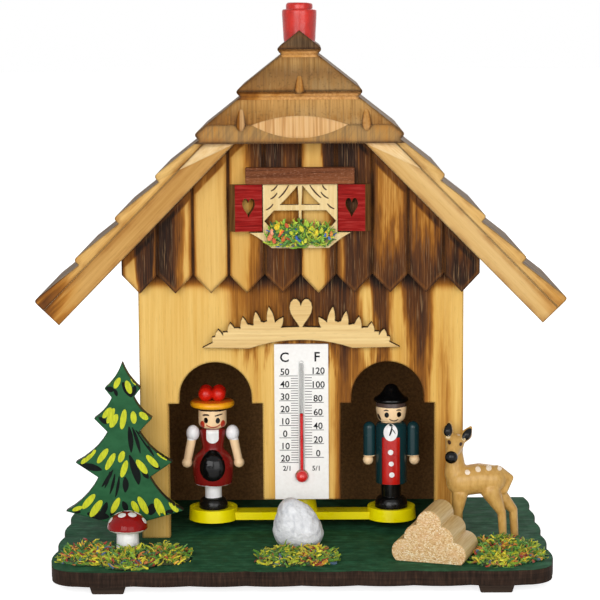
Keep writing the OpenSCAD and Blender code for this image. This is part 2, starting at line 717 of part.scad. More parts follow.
// Sleeve and hand
module man_arm() translate([coat_r + sleeve_r + glue_gap, 0, 0]) {
    translate([0, 0, man_shoulder_h]) sphere(sleeve_r);
    translate([0, 0, man_hand_h + sleeve_r * 0.7])
        cylinder(r = sleeve_r, h = man_shoulder_h - man_hand_h - sleeve_r * 0.7);
    translate([sleeve_r * 0.2, 0, man_hand_h]) sphere(sleeve_r * 0.85);
}

module man_arms() color("#16403a") in_cup(1) for (side = [0, 1]) mirror([side, 0, 0]) man_arm();

module man_hat() color("#1a1a1a") in_cup(1) translate([0, 0, man_head_top]) turned(concat(
    [[man_head_r - 0.3, 0]], arc([man_brim_r - 0.8, 0.8], [0.8, 0.8], -90, 90, 6),
    [[man_brim_r - 0.95, 1.7]], curve([man_brim_r - 1.1, 1.8], [3.5, 2.8], [2.6, 4.3]),
    curve([2.5, 4.5], [1.9, 5.9], [0.5, 6.1])));

module thermometer_card() color("#f4f2ec") difference() {
    upright(house_front - card_t, card_t) translate([-card_w / 2, card_foot_h]) square([card_w, card_h]);
    translate([0, house_front + 1, bulb_z]) rotate([90, 0, 0]) cylinder(r = bulb_r + 0.2, h = card_t + 2);
}

// Bulb and stem of the thermometer, grown inwards by an inset
module bulb_and_stem(inset, top) translate([0, tube_y, 0]) {
    translate([0, 0, bulb_z]) sphere(bulb_r - inset);
    translate([0, 0, bulb_z]) cylinder(r = tube_r - inset, h = top - bulb_z);
}

module thermometer_tube() color("#dfe8ea", 0.4) difference() {
    union() {
        bulb_and_stem(0, bulb_z + tube_h);
        translate([0, tube_y, bulb_z + tube_h]) sphere(tube_r);
    }
    bulb_and_stem(glass_t, bulb_z + tube_h);
}

module thermometer_liquid() color(RED_PAINT) bulb_and_stem(glass_t + glue_gap, liquid_z);

// Ribbon of the sign: flat at its pointed ends and arched over the card
sign_arch_x = sign_w * 0.26;
ribbon_foot = concat(
    curve([0, sign_foot_h + sign_arch], [sign_arch_x * 0.55, sign_foot_h + sign_arch],
        [sign_arch_x, sign_foot_h]),
    [[sign_w / 2, sign_foot_h + 0.3]]);
ribbon_top = curve([sign_w * 0.41, sign_foot_h + ribbon_h * 0.75],
    [sign_w * 0.22, ribbon_top_h], [0, ribbon_top_h], 6);

// Pointed leaf that grows from the origin and leans right by an angle
module leaf(length, width, lean) rotate(-lean)
    polygon(both_sides(concat([[0, 0]], curve([0.3, 0], [width, length * 0.5], [0, length]))));

module on_sign() upright(house_front - sign_t, sign_t) children();

// Sprig i of leaves on the ribbon, counted from its end, with its foot inside the ribbon
module sprig(i) {
    length = ornament_h * (0.5 + 0.11 * i);
    foot = ribbon_top[i] - [0, 1.6];
    for (lean = [-34, 8, 52]) on_sign() translate(foot) leaf(lean == 8 ? length : length * 0.72, 2.5, lean);
}

module sign_fretwork() color(LIGHT_WOOD) {
    on_sign() polygon(both_sides(concat(ribbon_foot, ribbon_top)));
    for (side = [0, 1], i = [0 : 4]) mirror([side, 0, 0]) sprig(i);
    on_sign() translate([0, ribbon_top_h - 1.5]) heart(ornament_h * 0.8, ornament_h + 1.5);
}

// Fretwork of the window: curtains over two upper panes, and two lower panes with pointed outer ends
module window_panes() {
    cross_top = window_top_h - window_h * 0.32;
    low_top = cross_top - crossbar_h;
    low_foot = low_top - window_h * 0.33;
    upper_w = window_w * 0.27;
    polygon(concat([[muntin_w / 2, cross_top]], curve([upper_w, cross_top],
        [upper_w * 0.55, cross_top + window_h * 0.13], [muntin_w / 2 + 0.3, window_top_h - muntin_w / 2])));
    polygon([[muntin_w / 2, low_foot], [muntin_w / 2, low_top], [window_w * 0.35, low_top],
        [(window_w - muntin_w) / 2, (low_top + low_foot) / 2], [window_w * 0.35, low_foot]]);
}

module window_fretwork() color("#e6cf9a") upright(gable_front - window_t, window_t) difference() {
    sill_top_h = window_top_h - shutter_h - 0.5;
    polygon(both_sides(concat(
        curve([sill_w * 0.28, sill_h], [sill_w * 0.4, sill_h + 3.6], [sill_w / 2, sill_top_h]),
        [[window_w / 2, sill_top_h], [window_w / 2, window_top_h]])));
    for (side = [0, 1]) mirror([side, 0]) window_panes();
}

module window_lintel() color(MAHOGANY) upright(gable_front - lintel_d, lintel_d)
    translate([-lintel_w / 2, window_top_h + glue_gap]) square([lintel_w, lintel_h]);

// Shutter that stands open: its inner back edge is on the gable panel and its outer front edge is bevelled
module shutter()
    translate([window_w / 2 + shutter_t * sin(shutter_angle) + 0.2, gable_front,
        base_top + window_top_h - shutter_h]) rotate([0, 0, -shutter_angle]) difference() {
        linear_extrude(shutter_h) polygon([[0, 0], [shutter_w, 0], [shutter_w, -shutter_t * 0.4],
            [shutter_w - shutter_bevel, -shutter_t], [0, -shutter_t]]);
        translate([(shutter_w - shutter_bevel) / 2, 1, (shutter_h - heart_h) / 2]) rotate([90, 0, 0])
            linear_extrude(shutter_t + 2) heart(heart_w, heart_h);
    }

module shutter_left() color(RED_PAINT) mirror([1, 0, 0]) shutter();

module shutter_right() color(RED_PAINT) shutter();

// Soft mound of flowers in front of the sill: shallow caps, that stand on the fretwork
module window_flowers() color(MOSS) intersection() {
    face = gable_front - window_t - glue_gap;
    for (i = [-1 : 1]) let (r = (pow(flower_r - abs(i) * 0.4, 2) + flower_d * flower_d) / (2 * flower_d))
        translate([i * window_w * 0.26, face - flower_d + r, base_top + sill_h + flower_r * 1.15]) sphere(r);
    translate([-window_w, face - 2 * flower_d, base_top]) cube([2 * window_w, 2 * flower_d, 2 * wall_h]);
}

// Tiers of the fir, as shares of its size: [height of the tips, half width there, half width at the notch above]
fir_tiers = [[0.861, 0.305, 0], [0.701, 0.492, 0.185], [0.466, 0.82, 0.267], [0.204, 1, 0.436]];
function notch_share(i) = fir_tiers[i][0] + (i == 0 ? 0.139 : (fir_tiers[i - 1][0] - fir_tiers[i][0]) * 0.69);
fir_edge = [for (i = [0 : 3], p = curve(
    [fir_tiers[i][2] * fir_half_w, notch_share(i) * fir_h],
    [fir_tiers[i][2] * fir_half_w + (fir_tiers[i][1] - fir_tiers[i][2]) * fir_half_w * 0.34,
        (notch_share(i) * 0.35 + fir_tiers[i][0] * 0.65) * fir_h],
    [fir_tiers[i][1] * fir_half_w, fir_tiers[i][0] * fir_h], 5)) p];

module fir_tree() color(GREEN_PAINT) translate([-fir_x, 0, 0]) upright(fir_back - fir_t, fir_t)
    polygon(both_sides(concat(fir_edge, [[fir_trunk_w / 2, fir_h * 0.13], [fir_trunk_w / 2, -tab_h]])));

module toadstool_stem() color("#f3efe4") translate([toadstool[0], toadstool[1], base_top])
    cylinder(r1 = stem_r, r2 = stem_r * 0.9, h = stem_h);

module toadstool_cap() color(RED_PAINT) translate([toadstool[0], toadstool[1], base_top + stem_h])
    turned(concat([[cap_r - 1.2, 0], [cap_r, 0.9]], arc([0, 0.9], [cap_r, cap_h - 0.9], 0, 89, 10)));

// Each lobe of the stone: [x, height, half width, half depth, half height], as shares of its size
stone_lobes = [[-0.1, 0.4, 0.4, 0.47, 0.4], [0.14, 0.34, 0.36, 0.5, 0.34],
    [-0.14, 0.68, 0.28, 0.4, 0.32], [0.04, 0.56, 0.3, 0.42, 0.35]];

module stone() color("#eceff1") translate([stone_at[0], stone_at[1], base_top]) intersection() {
    hull() for (q = stone_lobes) translate([q[0] * stone_w, 0, q[1] * stone_h])
        scale([q[2] * stone_w, q[3] * stone_d, q[4] * stone_h]) sphere(1, $fn = 24);
    translate([-stone_w, -stone_d, 0]) cube([2 * stone_w, 2 * stone_d, stone_h]);
}

// Block carved as a pile of logs: three, two and one
module log_pile() color("#e3c48d") translate([pile_at[0], pile_at[1], base_top]) rotate([90, 0, -log_turn])
    linear_extrude(log_l, center = true) intersection() {
        union() {
            for (row = [0 : 2], i = [0 : 2 - row])
                translate([(i - (2 - row) / 2) * 2 * log_r, log_r * 0.8 + row * log_row_h]) circle(log_r);
            polygon([[-2 * log_r, 0], [2 * log_r, 0], [2 * log_r, log_r],
                [0, log_r + 2 * log_row_h], [-2 * log_r, log_r]]);
        }
        translate([-4 * log_r, 0]) square([8 * log_r, 9 * log_r]);
    }

// Chain of balls joined by hulls: each entry is [x, y, z, radius]
module limb(balls) for (i = [0 : len(balls) - 2]) hull() for (b = [balls[i], balls[i + 1]])
    translate([b[0], b[1], b[2]]) sphere(b[3], $fn = 20);

hock_x = fawn_trunk + 4.7;

// Fawn that looks at the viewer: trunk, neck, head, ears, legs and tail
module fawn() color("#b97a3e") translate([fawn_at[0], fawn_at[1], base_top]) intersection() {
    union() {
        limb([[1.2, 0, fawn_trunk_h - 0.2, fawn_trunk_r],
            [fawn_trunk * 0.6, 0, fawn_trunk_h + 0.6, fawn_trunk_r * 1.02],
            [fawn_trunk - 0.4, 0, fawn_trunk_h + 0.4, fawn_trunk_r * 0.94]]);
        limb([[-0.6, 0, fawn_trunk_h + 2.4, fawn_trunk_r * 0.74], [-0.9, -0.2, fawn_head_h - 2.6, 2.6]]);
        limb([[-0.9, -0.4, fawn_head_h + 0.4, 3.2], [-2.2, -4.4, fawn_head_h - 2.8, 2]]);
        limb([[-2.8, 0.4, fawn_head_h + 2, 1.4], [-3.2, 0.4, fawn_head_h + fawn_ear * 0.66, 1.85],
            [-2.4, 0.6, fawn_head_h + fawn_ear * 1.08, 0.6]]);
        limb([[1.4, 0.4, fawn_head_h + 1.2, 1.4], [3, 0.4, fawn_head_h + fawn_ear * 0.46, 1.85],
            [4.4, 0.6, fawn_head_h + fawn_ear * 0.82, 0.6]]);
        for (y = [-1, 1]) {
            limb([[0.9, y * 1.8, fawn_trunk_h - 4, 2.6], [-0.2, y * 2, 10, 1.5],
                [-1.2, y * 2.2, hoof_r * 0.7, hoof_r]]);
            limb([[fawn_trunk - 0.6 + y * 0.6, y * 1.9, fawn_trunk_h - 3, 3.3],
                [hock_x + y * 2.1, y * 2.1, 11, 1.45],
                [hock_x + 0.6 + y * 2.1, y * 2.2, hoof_r * 0.7, hoof_r]]);
        }
        limb([[fawn_trunk + 1, 0, fawn_trunk_h + 2.2, 2.9], [fawn_trunk + 5.6, 0, fawn_trunk_h + 0.8, 1.1],
            [fawn_trunk + 3.6, 0, fawn_trunk_h - 3.4, 1.3]]);
    }
    translate([-fawn_trunk, -fawn_trunk, 0]) cube([4 * fawn_trunk, 2 * fawn_trunk, 2 * fawn_head_h]);
}

// Low mound of moss: a row of shallow caps, each [x, y, radius], cut round what stands in it
module tuft(caps) intersection() {
    for (c = caps) let (r = (c[2] * c[2] + moss_h * moss_h) / (2 * moss_h))
        translate([c[0], c[1], base_top + moss_h - r]) sphere(r);
    translate([-base_w, -base_d, base_top]) cube([2 * base_w, 2 * base_d, moss_h]);
}

module moss_left() color(MOSS) difference() {
    tuft([[-moss_x, base_front + 18, 11], [-moss_x + 13, base_front + 13, 11],
        [-moss_x + 24, base_front + 17, 9]]);
    translate([toadstool[0], toadstool[1], base_top - 1]) cylinder(r = stem_r + moss_gap, h = 2 * moss_h);
    translate([-fir_x - fir_half_w, fir_back - fir_t - moss_gap, base_top - 1])
        cube([2 * fir_half_w, apron_d, 2 * moss_h]);
}

module moss_centre() color(MOSS) difference() {
    tuft([[stone_at[0] - 5, base_front + 14, 8.5], [stone_at[0] + 5, base_front + 14, 8]]);
    translate([stone_at[0] - stone_w, stone_at[1] - stone_d / 2 - moss_gap, base_top - 1])
        cube([2 * stone_w, apron_d, 2 * moss_h]);
}

module moss_right() color(MOSS) difference() {
    tuft([[moss_x - 5, base_front + 14, 10], [moss_x, base_front + 19, 11], [moss_x - 3, base_front + 27, 10]]);
    translate([pile_at[0], pile_at[1], base_top - 1]) rotate(-log_turn)
        translate([-3 * log_r - moss_gap, -log_l / 2 - moss_gap, 0])
            cube([6 * log_r + 2 * moss_gap, log_l + 2 * moss_gap, 2 * moss_h]);
    for (y = [-1, 1], x = [-1, hock_x + 0.4 + y * 2.1])
        translate([fawn_at[0] + x, fawn_at[1] + y * 2.2, base_top - 1])
            cylinder(r = hoof_r + 0.4 + moss_gap, h = 2 * moss_h);
}

base_plate();
feet();
front_wall();
left_wall();
right_wall();
back_panel();
gable_panel();
roof_board_left();
roof_board_right();
shingles_left();
shingles_right();
hip_block();
ridge_beam();
chimney_knob();
spindle();
cord_clamp();
gut_cord();
cord_ferrule();
figure_bar();
woman_body();
woman_arms();
woman_hat_brim();
woman_pompoms();
man_body();
man_arms();
man_hat();
thermometer_card();
thermometer_tube();
thermometer_liquid();
sign_fretwork();
window_fretwork();
window_lintel();
shutter_left();
shutter_right();
window_flowers();
fir_tree();
toadstool_stem();
toadstool_cap();
stone();
log_pile();
fawn();
moss_left();
moss_centre();
moss_right();
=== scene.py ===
"""Chalet weather house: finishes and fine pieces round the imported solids."""

import json
import logging
import math
import random
from dataclasses import dataclass
from enum import Enum
from typing import Any, ClassVar, Sequence

import bmesh
import bpy
from bmesh.types import BMesh, BMVert
from bpy.types import Material, Mesh, Node, NodeSocket, Object, World
from mathutils import Matrix, Vector, noise
from mathutils.bvhtree import BVHTree

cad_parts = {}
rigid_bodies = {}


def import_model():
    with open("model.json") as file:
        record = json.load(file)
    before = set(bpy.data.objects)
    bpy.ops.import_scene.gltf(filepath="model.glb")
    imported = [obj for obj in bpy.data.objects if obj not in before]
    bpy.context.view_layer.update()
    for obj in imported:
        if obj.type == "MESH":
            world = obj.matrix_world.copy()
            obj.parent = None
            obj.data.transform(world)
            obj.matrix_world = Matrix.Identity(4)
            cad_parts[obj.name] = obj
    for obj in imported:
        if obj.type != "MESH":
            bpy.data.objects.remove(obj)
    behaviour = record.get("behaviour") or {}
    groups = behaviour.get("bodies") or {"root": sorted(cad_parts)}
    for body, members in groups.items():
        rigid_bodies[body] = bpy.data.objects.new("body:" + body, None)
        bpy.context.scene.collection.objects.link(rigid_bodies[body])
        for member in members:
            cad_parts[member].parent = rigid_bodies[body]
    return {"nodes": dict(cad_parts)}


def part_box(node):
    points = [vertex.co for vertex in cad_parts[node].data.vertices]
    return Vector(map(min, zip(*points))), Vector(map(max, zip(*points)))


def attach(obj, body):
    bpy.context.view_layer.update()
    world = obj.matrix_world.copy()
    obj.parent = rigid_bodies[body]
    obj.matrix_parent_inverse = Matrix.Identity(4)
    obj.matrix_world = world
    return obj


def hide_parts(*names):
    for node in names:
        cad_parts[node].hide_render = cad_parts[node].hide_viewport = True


for leftover in list(bpy.data.objects):
    bpy.data.objects.remove(leftover)
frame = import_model()

MM = 0.001
WELD = 1e-6
FULL_TURN = 2 * math.pi
LOG = logging.getLogger("weather_house")
Pair = tuple[float, float]
Triple = tuple[float, float, float]
Levels = tuple[Pair, ...]
Stops = Sequence[tuple[float, Any]]


class Body(Enum):
    """Moving bodies that a piece can ride on."""

    HOUSE = "house"
    TURNTABLE = "figure_turntable"


class Axis(Enum):
    """Axis along which a wood's grain runs."""

    X = 0
    Y = 1
    Z = 2


def tint(code: str) -> tuple[float, float, float, float]:
    """Converts a screen colour to a linear one.

    Args:
        code: Colour as #rrggbb.

    Returns:
        Linear red, green, blue and alpha.
    """
    parts = [int(code[i:i + 2], 16) / 255 for i in (1, 3, 5)]
    linear = [c / 12.92 if c <= 0.04045 else ((c + 0.055) / 1.055) ** 2.4 for c in parts]
    return (linear[0], linear[1], linear[2], 1.0)


class Graph:
    """Node tree of a material or of the world, with short calls for the nodes in use."""

    def __init__(self, owner: Material | World) -> None:
        """Starts from the shader that the owner comes with.

        Args:
            owner: New material or world.
        """
        owner.use_nodes = True
        self.nodes = owner.node_tree.nodes
        self.links = owner.node_tree.links
        self.surface = self.nodes.get("Principled BSDF") or self.nodes["Background"]

    def add(self, kind: str, **settings: Any) -> Node:
        """Adds a node and sets its properties.

        Args:
            kind: Node type.
            settings: Properties of the node.

        Returns:
            The new node.
        """
        node = self.nodes.new(kind)
        for key, value in settings.items():
            setattr(node, key, value)
        return node

    def feed(self, socket: NodeSocket, value: Any) -> None:
        """Links a socket, or sets it where the value is plain.

        Args:
            socket: Input to feed.
            value: Output socket, number, colour or vector.
        """
        if isinstance(value, NodeSocket):
            self.links.new(value, socket)
        else:
            socket.default_value = value

    def wire(self, node: Node, **values: Any) -> Node:
        """Feeds a node's inputs by name.

        Args:
            node: Node to feed.
            values: Values or sockets; an underscore in a name stands for a space.

        Returns:
            The same node.
        """
        for name, value in values.items():
            self.feed(node.inputs[name.replace("_", " ")], value)
        return node

    def set(self, **values: Any) -> None:
        """Feeds inputs of the surface shader."""
        self.wire(self.surface, **values)

    def place(self, size: float | Triple, turn: Triple) -> NodeSocket:
        """Object coordinates in units of a feature's size.

        Args:
            size: Size of the feature along each axis, or along all, in metres.
            turn: Turn of the pattern, in radians.

        Returns:
            The vector socket.
        """
        sides = size if isinstance(size, tuple) else (size, size, size)
        mapping = self.add("ShaderNodeMapping", vector_type="TEXTURE")
        own = self.add("ShaderNodeTexCoord").outputs["Object"]
        return self.wire(mapping, Vector=own, Rotation=turn, Scale=sides).outputs[0]

    def noise(self, size: float | Triple, turn: Triple = (0, 0, 0), detail: float = 3.0,
              rough: float = 0.55, twist: float = 0.0) -> NodeSocket:
        """Noise whose features have the given size.

        Args:
            size: Feature size along each axis, or along all, in metres.
            turn: Turn of the pattern, in radians.
            detail: Octaves.
            rough: Weight of the finer octaves.
            twist: Distortion.

        Returns:
            The factor socket.
        """
        node = self.add("ShaderNodeTexNoise")
        self.wire(node, Vector=self.place(size, turn), Scale=1.0, Detail=detail, Roughness=rough,
                  Distortion=twist)
        return node.outputs[0]

    def cells(self, size: float | Triple, turn: Triple = (0, 0, 0)) -> Node:
        """Voronoi cells of the given size; the node gives Distance and Color."""
        return self.wire(self.add("ShaderNodeTexVoronoi"), Vector=self.place(size, turn), Scale=1.0)

    def axis(self, name: str, source: str = "Object") -> NodeSocket:
        """One component of the object coordinates, or of another coordinate.

        Args:
            name: X, Y or Z.
            source: Output of the coordinates' node.

        Returns:
            The value socket.
        """
        split = self.add("ShaderNodeSeparateXYZ")
        self.links.new(self.add("ShaderNodeTexCoord").outputs[source], split.inputs[0])
        return split.outputs[name]

    def facing(self, name: str) -> NodeSocket:
        """One component of the object-space normal."""
        return self.axis(name, "Normal")

    def dot(self, a: NodeSocket, b: Any) -> NodeSocket:
        """Dot product of two vectors.

        Args:
            a: First vector.
            b: Second vector, plain or a socket.

        Returns:
            The value socket.
        """
        node = self.add("ShaderNodeVectorMath", operation="DOT_PRODUCT")
        self.feed(node.inputs[0], a)
        self.feed(node.inputs[1], b)
        return node.outputs["Value"]

    def math(self, kind: str, a: Any, b: Any = 0.0, c: Any = 0.0, clamp: bool = False) -> NodeSocket:
        """One math node.

        Args:
            kind: Operation.
            a: First value or socket.
            b: Second value or socket.
            c: Third value or socket.
            clamp: True to keep the result within 0 and 1.

        Returns:
            The result socket.
        """
        node = self.add("ShaderNodeMath", operation=kind, use_clamp=clamp)
        for socket, value in zip(node.inputs, (a, b, c)):
            self.feed(socket, value)
        return node.outputs[0]

    def plus(self, a: Any, b: Any, clamp: bool = False) -> NodeSocket:
        """Sum of two values."""
        return self.math("ADD", a, b, clamp=clamp)

    def times(self, a: Any, b: Any, clamp: bool = False) -> NodeSocket:
        """Product of two values."""
        return self.math("MULTIPLY", a, b, clamp=clamp)

    def scaled(self, a: Any, factor: Any, offset: Any, clamp: bool = False) -> NodeSocket:
        """A value times a factor, plus an offset."""
        return self.math("MULTIPLY_ADD", a, factor, offset, clamp)

    def mean(self, a: NodeSocket, share: float, b: NodeSocket) -> NodeSocket:
        """Mean of two patterns, with that share of the first."""
        return self.scaled(a, share, self.times(b, 1 - share))

    def rest(self, share: NodeSocket) -> NodeSocket:
        """What a share leaves of one."""
        return self.math("SUBTRACT", 1.0, share)

    def width(self, value: NodeSocket) -> NodeSocket:
        """Distance of a value from zero."""
        return self.math("ABSOLUTE", value)

    def fade(self, value: Any, low: float, high: float, start: float = 0.0, end: float = 1.0) -> NodeSocket:
        """Maps a range of a value onto another range, smoothly and clamped.

        Args:
            value: Value or socket.
            low: Value that gives start.
            high: Value that gives end.
            start: Result at low.
            end: Result at high.

        Returns:
            The result socket.
        """
        node = self.add("ShaderNodeMapRange", interpolation_type="SMOOTHSTEP")
        for socket, number in zip(node.inputs, (value, low, high, start, end)):
            self.feed(socket, number)
        return node.outputs[0]

    def between(self, value: NodeSocket, rise: Sequence[float], fall: Sequence[float]) -> NodeSocket:
        """Mask of a range, which fades in over rise and out over fall."""
        return self.times(self.fade(value, *rise), self.fade(value, *fall))

    def ramp(self, factor: NodeSocket, stops: Stops, step: bool = False) -> NodeSocket:
        """Colour ramp.

        Args:
            factor: Value that picks the colour.
            stops: Pairs of place and colour code, or place and grey level.
            step: True for hard borders.

        Returns:
            The colour socket.
        """
        node = self.add("ShaderNodeValToRGB")
        band = node.color_ramp
        band.interpolation = "CONSTANT" if step else "LINEAR"
        band.elements.remove(band.elements[1])
        for i, (at, colour) in enumerate(stops):
            element = band.elements[0] if i == 0 else band.elements.new(at)
            element.position = at
            element.color = tint(colour) if isinstance(colour, str) else (colour, colour, colour, 1.0)
        self.links.new(factor, node.inputs[0])
        return node.outputs[0]

    def blend(self, factor: Any, under: Any, over: Any, kind: str = "MIX") -> NodeSocket:
        """Lays one colour over another.

        Args:
            factor: Share of the upper colour.
            under: Lower colour code or socket.
            over: Upper colour code or socket.
            kind: Blend type.

        Returns:
            The colour socket.
        """
        node = self.add("ShaderNodeMix", data_type="RGBA", blend_type=kind)
        for i, value in ((0, factor), (6, under), (7, over)):
            self.feed(node.inputs[i], tint(value) if isinstance(value, str) else value)
        return node.outputs[2]

    def arris(self, reach: float) -> NodeSocket:
        """Mask that is 0 on flat faces and rises to 1 on the arrises.

        Args:
            reach: How far the mask reaches from an arris, in metres.

        Returns:
            The mask socket.
        """
        rounded = self.wire(self.add("ShaderNodeBevel", samples=6), Radius=reach)
        flat = self.add("ShaderNodeNewGeometry").outputs["Normal"]
        return self.fade(self.dot(rounded.outputs[0], flat), 0.997, 0.87)

    def relief(self, height: NodeSocket, depth: float, strength: float = 0.6) -> None:
        """Raises the surface by a height.

        Args:
            height: Height socket.
            depth: Depth of the relief, in metres.
            strength: Strength of the relief.
        """
        node = self.wire(self.add("ShaderNodeBump"), Strength=strength, Distance=depth, Height=height)
        self.set(Normal=node.outputs[0])


@dataclass(frozen=True)
class Finish:
    """Base of the finishes: each makes its material once."""

    made: ClassVar[dict[str, Material]] = {}
    name: str

    def get(self) -> Material:
        """Gives the finish's material, made at its first use.

        Returns:
            The material.
        """
        if self.name not in Finish.made:
            material = bpy.data.materials.new(self.name)
            self.mix(Graph(material))
            Finish.made[self.name] = material
        return Finish.made[self.name]

    def mix(self, g: Graph) -> None:
        """Builds the nodes, which each finish does in its own way."""
        raise NotImplementedError


@dataclass(frozen=True)
class Wood(Finish):
    """Wood with fibres and figure along one axis, and scorched arrises."""

    pale: str
    deep: str
    burnt: str = "#2b1a10"
    along: Axis = Axis.Z
    turn: Triple = (0.0, 0.0, 0.0)
    sheet: Axis | None = None
    fibre: float = 0.55 * MM
    edge: float = 0.0
    edge_depth: float = 0.8
    toast: float = 0.0
    rough: float = 0.62
    relief: float = 0.1 * MM

    def grain(self, g: Graph, width: float, length: float, sheet: Axis | None = None,
              **settings: float) -> NodeSocket:
        """Noise that is drawn out along the grain.

        Args:
            g: Node tree.
            width: Feature size across the grain.
            length: Feature size along the grain.
            sheet: Axis through the face, along which the pattern hardly changes.
            settings: Settings of the noise.

        Returns:
            The factor socket.
        """
        size = [width, width, width]
        through = sheet or self.sheet
        if through:
            size[through.value] = 12 * width
        size[self.along.value] = length
        return g.noise(tuple(size), tuple(math.radians(a) for a in self.turn), **settings)

    def char(self, g: Graph, colour: NodeSocket, fibre: NodeSocket) -> NodeSocket:
        """Colour after scorching, which plain wood is spared."""
        return colour

    def mix(self, g: Graph) -> None:
        """Lays fibres, figure and pores, then the scorch and the edges.

        Args:
            g: Node tree.
        """
        fibre = self.grain(g, self.fibre, 45 * self.fibre, detail=4.0)
        figure = self.grain(g, 6 * MM, 140 * MM, twist=0.6)
        pores = self.grain(g, 0.22 * MM, 3.5 * MM, detail=1.0)
        tone = g.mean(fibre, 0.4, figure)
        colour = g.ramp(tone, [(0.36, self.deep), (0.62, self.pale)])
        colour = g.blend(g.fade(pores, 0.62, 0.8, 0.0, 0.22), colour, self.burnt)
        colour = self.char(g, colour, fibre)
        if self.toast:
            patchy = g.fade(g.noise(9 * MM), 0.35, 0.65, 0.15, 0.8)
            colour = g.blend(g.times(g.arris(self.toast), patchy), colour, "#8a5420")
        if self.edge:
            ragged = g.scaled(fibre, 0.9, 0.35 * self.edge_depth)
            colour = g.blend(g.times(g.arris(self.edge), ragged, clamp=True), colour, self.burnt)
        dull = g.fade(tone, 0.35, 0.65, self.rough + 0.08, self.rough - 0.06)
        g.set(Base_Color=colour, Roughness=dull, Specular_IOR_Level=0.1)
        g.relief(g.scaled(pores, -0.4, fibre), self.relief)


SCORCH: Stops = ((0.05, "#cf9840"), (0.22, "#b07428"), (0.42, "#7e4c18"), (0.62, "#563114"),
                 (0.82, "#3a2111"), (1.0, "#1e110a"))
EAVE: Pair = (66 * MM, 88 * MM)


def charred(g: Graph, colour: NodeSocket, level: NodeSocket) -> NodeSocket:
    """Lays scorch of a level from 0, bare, to 1, black, over a colour."""
    return g.blend(g.fade(level, 0.03, 0.34), colour, g.ramp(level, SCORCH))


def eave_burn(g: Graph, smoke: NodeSocket) -> NodeSocket:
    """Scorch level of a roof piece, which rises towards its eave.

    Args:
        g: Node tree.
        smoke: Pattern of the scorch.

    Returns:
        The level socket.
    """
    end = g.times(g.fade(g.width(g.axis("X")), *EAVE, 0.0, 0.7), g.fade(smoke, 0.3, 0.6, 0.2, 1.0))
    left = g.fade(g.axis("X"), 0.0, -30 * MM, 0.35, 1.0)
    return g.math("MAXIMUM", g.times(end, left), g.fade(smoke, 0.58, 0.8, 0.0, 0.35))


